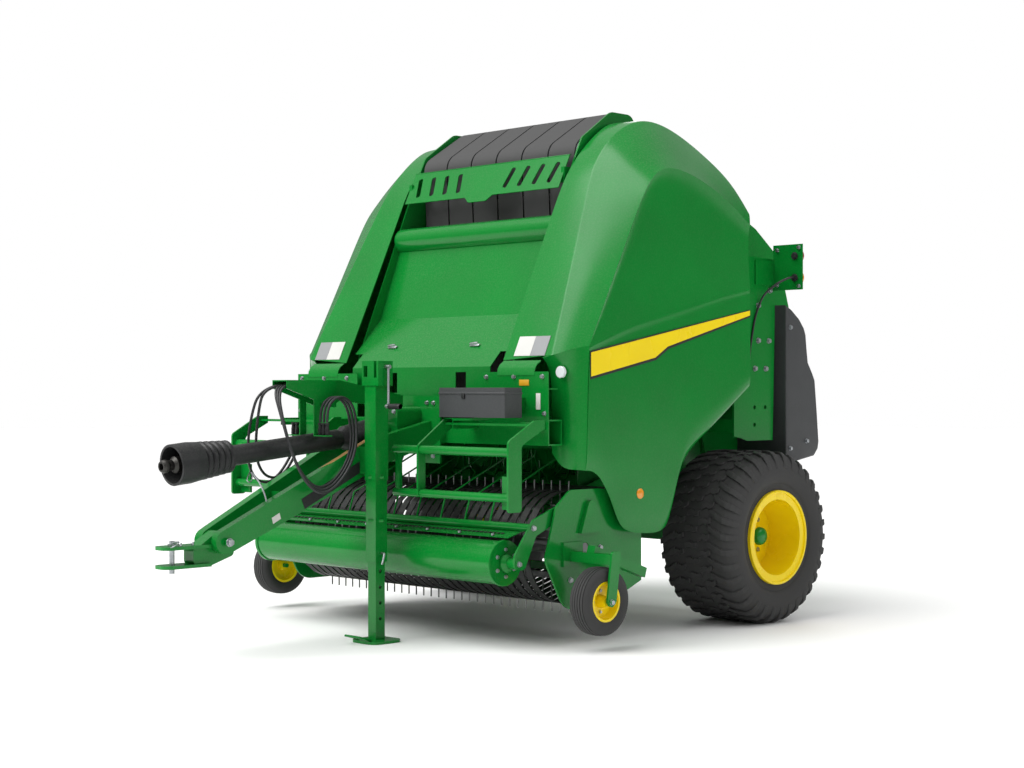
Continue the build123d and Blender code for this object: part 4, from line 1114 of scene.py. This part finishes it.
@dataclass
class Fastenings:
    """Bolt heads of the frame, in short tables by the body that carries them."""

    # body, both sides, thread in mm, way that the head points, places in millimetres
    rows: tuple[tuple[str, bool, float, Point, Rows], ...] = (
        ("chassis", True, 16, (1, 0, 0), (
            (942, 3300, 1400), (942, 3400, 1400), (942, 3330, 1560), (942, 3430, 1560), (942, 3330, 1760),
            (942, 3440, 1850), (942, 3180, 1960), (942, 2990, 1980), (942, 2800, 1995),
        )),
        ("chassis", True, 12, (0, -1, 0), (
            (560, 1540, 1345), (760, 1540, 1345), (960, 1540, 1345), (975, 1540, 1160),
        )),
        ("chassis", True, 12, (0, -1, 0), (
            (975, 3470, 1880), (975, 3470, 2080), (1125, 3470, 1870), (1125, 3470, 2090),
        )),
        ("chassis", True, 20, (1, 0, 0), ((117, 250, 545),)),
        ("chassis", True, 12, (0, -1, 0), ((200, 1500, 930), (200, 1500, 1210), (150, 1500, 1210))),
        ("chassis", False, 12, (0, -1, 0), (
            (-80, 1330, 1010), (80, 1330, 1010), (-80, 1330, 1165), (80, 1330, 1165),
        )),
        ("pickup", True, 14, (1, 0, 0), (
            (1057, 1750, 620), (1057, 1860, 480), (1057, 1750, 340), (1057, 1640, 330),
        )),
        ("pickup", True, 14, (1, 0, 0), ((1352, 1620, 245),)),
        ("wind_guard", True, 14, (1, 0, 0), ((1034, 1300, 430), (1034, 1400, 600))),
        ("wind_guard", True, 10, (0, -0.25, 0.97), (
            (120, 1312, 562), (360, 1312, 562), (600, 1312, 562), (840, 1312, 562),
        )),
        ("tailgate", True, 14, (1, 0, 0), ((1000, 3560, 1640), (1000, 3560, 940), (1000, 3720, 980))),
    )

    def build(self) -> None:
        """Build one joined piece for each row."""
        for index, (body, mirrored, size, way, places) in enumerate(self.rows):
            parts = []
            for x, y, z in places:
                for sign in (1, -1) if mirrored else (1,):
                    out = (way[0] * sign, way[1], way[2])
                    parts.append(bench.bolt("head", at(x * sign, y, z), out, size * MM))
            bench.hand_over(bench.join(f"bolts_{index}_{body}", parts), body, ZINC)


ARM_SPLAY = 0.07


def arm_point(y: float, up: float, side: float) -> Point:
    """Return a point beside the near drawbar arm's centre line, from its height above the arm's foot."""
    return at(70 + ARM_SPLAY * (y - 250) + side, y, 545 + up)


@dataclass
class BlankPlates:
    """Bare information plates, each a thin film; those on the front panel have a rounded edge."""

    lean: float = 0.468
    arm_face: float = 25.6
    # name, finish, corners as distance along the arm and height
    on_arm: tuple[tuple[str, Finish, Profile], ...] = (
        ("arm_plate", BLACK, ((430, 190), (840, 395), (860, 345), (450, 140))),
        ("arm_tag", WHITE_FILM, ((255, 105), (300, 128), (308, 98), (263, 75))),
    )
    # name, left, right, low, high, finish
    on_panel: tuple[tuple[str, float, float, float, float, Finish], ...] = (
        ("tall", 918, 948, 1180, 1262, WHITE_FILM), ("wide", 800, 868, 1300, 1330, AMBER_FILM),
    )

    def on_pillar(self, side: str) -> None:
        """Lay a two-tone blank plate across the foot of one pillar."""
        sign = SIDES[side]
        for name, x0, x1, finish in (("light", 700, 815, WHITE_FILM), ("dark", 816, 918, GREY_FILM)):
            rows = []
            for x, z in ((x0, 1452), (x1, 1452), (x1, 1552), (x0, 1552)):
                rows.append(at(sign * x, 1592 + (z - 1430) * self.lean - 4.5, z))
            film = bench.plate(f"pillar_plate_{name}_{side}", rows, (0.0, 0.003, -0.0012))
            bench.hand_over(film, f"side_shield_{side}", finish)

    def build(self) -> None:
        """Build every blank plate."""
        for side in SIDES:
            self.on_pillar(side)
        for name, x0, x1, z0, z1, finish in self.on_panel:
            film = bench.block(f"front_plate_{name}", at(x0, 1536.5, z0), at(x1, 1540.5, z1), 0.0008)
            bench.hand_over(film, "chassis", finish)
        for name, finish, corners in self.on_arm:
            rows = [arm_point(250 + u * math.cos(math.atan(ARM_SPLAY)), v, self.arm_face) for u, v in corners]
            bench.hand_over(bench.plate(name, rows, (0.0012, 0.0, 0.0)), "chassis", finish)


@dataclass
class LiftSprings:
    """Coil springs that carry part of the pickup's weight, with their hooks."""

    x: float = 1000.0
    y: float = 1990.0
    low: float = 560.0
    high: float = 970.0
    eye: float = 35.0
    coil: float = 20.0
    wire: float = 3.4
    turns: int = 34

    def build(self) -> None:
        """Wind both springs."""
        low, high = self.low + self.eye, self.high - self.eye
        coil, wire = self.coil * MM, self.wire * MM
        for side, sign in SIDES.items():
            x = sign * self.x
            body = bench.spring("coil", at(x, self.y, low), at(x, self.y, high), coil, wire, self.turns)
            hooks = []
            for end, way in ((low, -1), (high, 1)):
                line = ((self.coil, 0), (self.coil * 0.3, 6), (0, 14), (0, 34))
                rows = [at(sign * (self.x + out), self.y, end + way * along) for out, along in line]
                hooks.append(bench.rod("hook", rows, wire))
            whole = bench.dress(bench.join(f"lift_coil_{side}", [body, *hooks]), SPRING, 60)
            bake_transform(whole)
            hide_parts("lift_springs")


@dataclass
class JackFittings:
    """The parking jack's cross pin, crank grip and collars."""

    x: float = 253.0
    y: float = 1060.0
    grip_z: float = 1195.0
    # name, height
    collars: tuple[tuple[str, float], ...] = (("low", 610), ("high", 830))

    def build(self) -> None:
        """Build the small parts on the jack."""
        x, y = self.x, self.y
        rows = [at(x + 34, y, 452), at(x + 60, y, 452), at(x + 66, y - 4, 446), at(x + 70, y - 22, 398)]
        bench.hand_over(bench.rod("jack_cross_pin", rows, 0.0065), "chassis", ZINC, 60)
        grip = [
            (0, 0.0), (0, 0.0132), (0.004, 0.0142), (0.02, 0.0136), (0.045, 0.0146), (0.07, 0.0138),
            (0.082, 0.0144), (0.086, 0.013), (0.086, 0.0),
        ]
        bench.fit("crank_grip", "chassis", BLACK, at(x + 98, y, self.grip_z), grip, (1, 0, 0), 28, 40)
        square = [
            (0, 0.045), (0, 0.0535), (0.004, 0.055), (0.010, 0.055), (0.014, 0.0535), (0.014, 0.045), (0, 0.045),
        ]
        foot = Matrix.Translation(at(x, y, 0))
        for name, z in self.collars:
            band = bench.settle(bench.turned(f"jack_collar_{name}", at(x, y, z), square, (0, 0, 1), 4))
            band.data.transform(foot @ Matrix.Rotation(math.radians(45), 4, "Z") @ foot.inverted())
            bench.hand_over(band, "chassis", GREEN)


@dataclass
class HitchFittings:
    """Studs and a lynch ring on the clevis, and the rubbing strip on the near arm."""

    stud: Profile = ((0, 0), (0, 0.009), (0.012, 0.009), (0.016, 0.006), (0.016, 0))
    studs: Rows = ((30, 96, 536), (-34, 40, 536), (40, 20, 536))
    ring: Rows = (
        (62, -8, 548), (92, -22, 556), (96, -52, 544), (70, -60, 534), (58, -34, 540), (62, -8, 548),
    )
    # y, height above the arm's foot, side
    strip: Rows = ((750, 302.5, -16), (1096, 475, -16), (1096, 475, 16), (750, 302.5, 16))

    def build(self) -> None:
        """Build the studs, the ring and the strip."""
        for index, place in enumerate(self.studs):
            bench.fit(f"clevis_stud_{index}", "chassis", ZINC, at(*place), self.stud, (0, 0, 1), 20)
        bench.hand_over(bench.rod("lynch_ring", [at(*row) for row in self.ring], 0.0022), "chassis", ZINC, 60)
        rows = [arm_point(*row) for row in self.strip]
        bench.hand_over(bench.plate("arm_rubbing_strip", rows, (0.0, -0.0008, 0.0016)), "chassis", TAN)


@dataclass
class ToolBoxTrim:
    """The tool box's moulded rim, catch and hinge straps."""

    # name, low corner, high corner, rounding in metres, finish
    blocks: tuple[tuple[str, Point, Point, float, Finish], ...] = (
        ("lid_rim", (426, 1326, 1256), (909, 1452, 1268), 0.003, GREY),
        ("lid_catch", (600, 1322, 1235), (622, 1330, 1262), 0.002, BLACK),
        ("box_strap_0", (504, 1452, 1150), (536, 1464, 1256), 0.003, BLACK),
        ("box_strap_1", (784, 1452, 1150), (816, 1464, 1256), 0.003, BLACK),
    )

    def build(self) -> None:
        """Build the trim on the box."""
        for name, low, high, bevel, finish in self.blocks:
            bench.hand_over(bench.block(name, at(*low), at(*high), bevel), "chassis", finish)


@dataclass
class RearLamps:
    """Lamp housings with lenses behind and plugs in front."""

    x: float = 1099.0
    heights: Span = (1918.0, 2042.0)
    back_y: float = 3476.0
    front_y: float = 3470.0
    shell: Profile = (
        (0, 0.0), (0, 0.046), (0.002, 0.0478), (0.006, 0.0478), (0.007, 0.045), (0.007, 0.0),
    )
    lens: Profile = (
        (0.007, 0.0), (0.007, 0.0468), (0.018, 0.0464), (0.0225, 0.043), (0.0237, 0.030), (0.0239, 0.0),
    )
    plug: Profile = (
        (0, 0.0), (0, 0.020), (0.004, 0.022), (0.007, 0.022), (0.008, 0.017), (0.0135, 0.016), (0.014, 0.0),
    )

    def build(self) -> None:
        """Build the four lamps."""
        for side, sign in SIDES.items():
            for index, z in enumerate(self.heights):
                for name, y, rows, way, steps, finish, smooth in (
                    ("shell", self.back_y, self.shell, 1, 40, BLACK, 35),
                    ("lens", self.back_y, self.lens, 1, 40, LENS if index else AMBER, 40),
                    ("plug", self.front_y, self.plug, -1, 28, BLACK, 35),
                ):
                    spot = at(sign * self.x, y, z)
                    bench.fit(
                        f"lamp_{name}_{side}_{index}", "chassis", finish, spot, rows, (0, way, 0), steps, smooth,
                        ("tail_lamps",),
                    )


@dataclass
class GateCovers:
    """Rounded plastic covers on the tailgate's sides."""

    inner: float = 647.0
    outer: float = 1000.0
    # y, z round the cover
    outline: Profile = (
        (3522, 1768), (3580, 1742), (3655, 1690), (3700, 1640), (3718, 1600), (3728, 1520), (3740, 1440),
        (3785, 1375), (3808, 1335), (3830, 1150), (3848, 975), (3838, 930), (3800, 892), (3660, 870), (3522, 852),
    )

    def build(self) -> None:
        """Build both covers."""
        for side, sign in SIDES.items():
            rows = [at(sign * self.inner, y, z) for y, z in self.outline]
            cover = bench.plate(f"cover_{side}", rows, (sign * (self.outer - self.inner) * MM, 0.0, 0.0))
            bench.edit()
            bpy.ops.mesh.select_all(action="DESELECT")
            bench.leave()
            edge_x = sign * self.outer * MM
            for polygon in cover.data.polygons:
                polygon.select = abs(polygon.center.x - edge_x) < 0.0005
            bpy.ops.object.mode_set(mode="EDIT")
            bpy.ops.mesh.bevel(offset=0.011, segments=3, affect="EDGES")
            bench.leave()
            bench.hand_over(cover, "tailgate", GREY, 32, ("gate_covers",))


@dataclass
class GuardTeeth:
    """The row of black plates along the crop guard's sheet, painted shade that stands for its dark slots."""

    pitch: float = 30.0
    half: float = 900.0
    # x from the slot's start, y, z
    slot: Rows = ((0, 1334, 568.0), (17, 1334, 568.0), (21, 1344, 570.7), (4, 1344, 570.7))

    def build(self) -> None:
        """Build the slots' painted shade as one piece of black plates."""
        slot_shadows = []
        x = -self.half
        while x < self.half:
            # Each slot is a thin black plate lying on the sheet: painted shade where the opening looks dark.
            slot_shadows.append(bench.plate("slot", [at(x + out, y, z) for out, y, z in self.slot], (0.0, 0.0, 0.0035)))
            x += self.pitch
        bench.hand_over(bench.join("guard_slot_shadows", slot_shadows), "wind_guard", BLACK)


@dataclass
class ApronFittings:
    """Spring catches of the front sheet, and the brows that close the gap under the pillars."""

    catches: Span = (-330, 330)
    # y, z of each catch's middle, and the corners' x, y and z from it
    middle: Span = (1679, 1514)
    base: Rows = ((-34, -6, -6), (34, -6, -6), (34, 6, 6), (-34, 6, 6))
    bar: Rows = ((-30, -8, 10), (0, -14, 16), (34, -12, 14))
    brow_x: float = 640.0
    brow_width: float = 0.265
    # y, z round the brow's section
    brow: Profile = (
        (1541, 1352), (1546, 1384), (1560, 1404), (1590, 1424), (1588, 1428), (1557, 1408), (1542, 1386),
        (1537, 1352),
    )

    def build(self) -> None:
        """Build the catches and the brows."""
        y0, z0 = self.middle
        for index, x0 in enumerate(self.catches):
            base, bar = ([at(x0 + x, y0 + y, z0 + z) for x, y, z in rows] for rows in (self.base, self.bar))
            parts = [bench.plate("base", base, (0.0, -0.004, 0.004), 0.001), bench.rod("bar", bar, 0.004)]
            bench.hand_over(bench.join(f"apron_catch_{index}", parts), "chassis", ZINC)
        for side, sign in SIDES.items():
            rows = [at(sign * self.brow_x, y, z) for y, z in self.brow]
            brow = bench.plate(f"closing_brow_{side}", rows, (sign * self.brow_width, 0.0, 0.0))
            bench.hand_over(brow, "chassis", GREEN)


@dataclass
class DrivelineStay:
    """Wire stay with its loop that holds the driveline's guard up from the near arm."""

    wire: Rows = ((20, 452, 872), (44, 462, 850), (62, 484, 800), (70, 500, 752), (78, 502, 720))
    loop: Rows = (
        (18, 446, 878), (40, 420, 862), (52, 396, 838), (46, 420, 822), (36, 446, 838), (24, 452, 868),
    )

    def build(self) -> None:
        """Bend the stay and its loop."""
        parts = [bench.rod("wire", [at(*row) for row in rows], radius)
                 for rows, radius in ((self.wire, 0.0042), (self.loop, 0.003))]
        bench.hand_over(bench.join("driveline_stay", parts), "chassis", ZINC, 60)


@dataclass
class GrilleTrim:
    """Folded flange along the top of the slotted bar."""

    half: float = 612.0
    # y, z of its front and rear edges
    front: Span = (2106, 2537)
    rear: Span = (2126, 2541)

    def build(self) -> None:
        """Build the folded flange."""
        ends = ((-1, self.front), (1, self.front), (1, self.rear), (-1, self.rear))
        rows = [at(end * self.half, *edge) for end, edge in ends]
        bench.hand_over(bench.plate("grille_flange", rows, (0.0, 0.0, 0.004), 0.001), "chassis", GREEN)


@dataclass
class RollerEnds:
    """Flange rings, bolts and collars at the ends of the crop roller."""

    x: float = 930.0
    y: float = 1300.0
    z: float = 430.0
    radius: float = 107.5
    bolts: int = 6
    # along the axis, and out from the roller's radius, in metres
    flange: Profile = (
        (-0.012, -0.004), (-0.012, 0.004), (-0.008, 0.0065), (0.006, 0.0065), (0.010, 0.004), (0.010, -0.016),
        (-0.012, -0.004),
    )
    collar: Profile = (
        (0.012, 0.026), (0.012, 0.044), (0.016, 0.046), (0.026, 0.046), (0.030, 0.040), (0.040, 0.034),
        (0.044, 0.027), (0.044, 0.0262),
    )

    def build(self) -> None:
        """Build both ends."""
        flange = [(along, self.radius * MM + out) for along, out in self.flange]
        for side, sign in SIDES.items():
            centre, way = at(sign * self.x, self.y, self.z), (sign, 0, 0)
            bench.fit(f"roller_flange_{side}", "crop_roller", GREEN, centre, flange, way, 56, 30)
            bolt = bench.bolt("roller_bolt", at(sign * (self.x + 12), self.y, self.z + 66), way, 0.010)
            ring = ring_copies(bolt, f"roller_bolts_{side}", at(0, self.y, self.z), self.bolts)
            bench.hand_over(ring, "crop_roller", ZINC)
            bench.fit(f"roller_collar_{side}", "crop_roller", GREEN, centre, self.collar, way, 40, 30)


ASSEMBLIES = (
    SideShields(), MainWheels(), GaugeWheels(), Fastenings(), BlankPlates(), LiftSprings(), JackFittings(),
    HitchFittings(), ToolBoxTrim(), RearLamps(), GateCovers(), GuardTeeth(), ApronFittings(), DrivelineStay(),
    GrilleTrim(), RollerEnds(),
)


@dataclass
class Studio:
    """Pale floor, soft lights and the camera."""

    eye: Point = (7.06, -6.7665, 1.278)
    heading: float = 45.0
    lens: float = 61.9
    sensor: float = 36.0
    rise: float = 6 / 1024
    low_sky: float = 0.12
    high_sky: float = 0.75
    # name, place, aim, width, height, power
    lamps: tuple[tuple[str, Point, Point, float, float, float], ...] = (
        ("key", (-2.5, -8.5, 6.5), (0.0, 0.0, 1.2), 6.0, 4.0, 420.0),
        ("side", (8.0, 3.5, 5.5), (0.0, 0.3, 1.0), 5.0, 4.0, 120.0),
        ("rear", (-4.0, 8.5, 5.0), (0.0, 0.5, 1.2), 6.0, 4.0, 160.0),
    )
    sun_turn: Point = (0.55, 0.0, -0.55)
    sun_power: float = 2.3
    sun_spread: float = 50.0

    def floor(self) -> None:
        """Lay the floor, which is staging."""
        bench.clear()
        bpy.ops.mesh.primitive_plane_add(size=90.0, location=(0.0, 0.0, 0.0))
        floor = bench.settle(bpy.context.object)
        floor.name = "studio_floor"
        made = bpy.data.materials.new("pale_floor")
        made.use_nodes = True
        shader = made.node_tree.nodes["Principled BSDF"]
        shader.inputs["Base Color"].default_value = linear("#f4f4f3")
        shader.inputs["Roughness"].default_value = 0.7
        floor.data.materials.append(made)

    def lights(self) -> None:
        """Hang the soft lamps and the sun."""
        for name, place, aim, width, height, power in self.lamps:
            lamp = bpy.data.lights.new(name, "AREA")
            lamp.shape = "RECTANGLE"
            lamp.size = width
            lamp.size_y = height
            lamp.energy = power
            holder = link(name, lamp)
            holder.location = place
            holder.rotation_euler = (Vector(aim) - Vector(place)).to_track_quat("-Z", "Y").to_euler()
        sun = bpy.data.lights.new("overhead", "SUN")
        sun.energy = self.sun_power
        sun.angle = math.radians(self.sun_spread)
        link("overhead", sun).rotation_euler = self.sun_turn

    def sky(self) -> None:
        """Build the sky, which the camera sees as plain white."""
        world = bpy.data.worlds.new("white_sky")
        world.use_nodes = True
        tree = world.node_tree
        tree.nodes.clear()
        way = add_node(tree, "ShaderNodeTexCoord").outputs["Generated"]
        height = add_node(tree, "ShaderNodeSeparateXYZ", None, Vector=way).outputs["Z"]
        glow = ramp(tree, height, (0.0, 0.8), (self.low_sky, self.high_sky))
        seen = add_node(tree, "ShaderNodeLightPath").outputs["Is Camera Ray"]
        strength = add_node(tree, "ShaderNodeMix", {"data_type": "FLOAT", 3: 1.0}, Factor=seen, _2=glow).outputs[0]
        shade = add_node(tree, "ShaderNodeBackground", {"Color": (1.0, 1.0, 1.0, 1.0)}, Strength=strength)
        add_node(tree, "ShaderNodeOutputWorld", None, Surface=shade.outputs["Background"])
        bpy.context.scene.world = world
        bpy.context.scene.view_settings.view_transform = "Standard"

    def aim(self) -> None:
        """Place the camera."""
        camera = bpy.data.cameras.new("camera")
        camera.lens = self.lens
        camera.sensor_width = self.sensor
        camera.shift_y = self.rise
        camera.clip_end = 200.0
        holder = link("camera", camera)
        holder.location = self.eye
        holder.rotation_euler = (math.radians(90.0), 0.0, math.radians(self.heading))
        bpy.context.scene.camera = holder

    def build(self) -> None:
        """Build the floor, the lights, the sky and the camera."""
        self.floor()
        self.lights()
        self.sky()
        self.aim()


def main() -> None:
    """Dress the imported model, build each sub-assembly in order and set up the studio."""
    logging.basicConfig(level=logging.INFO, format="%(message)s")
    Dressing().dress()
    HydraulicHoses().build()
    for assembly in ASSEMBLIES:
        log.info("building %s", type(assembly).__name__)
        assembly.build()
    Studio().build()


if __name__ == "__main__":
    main()
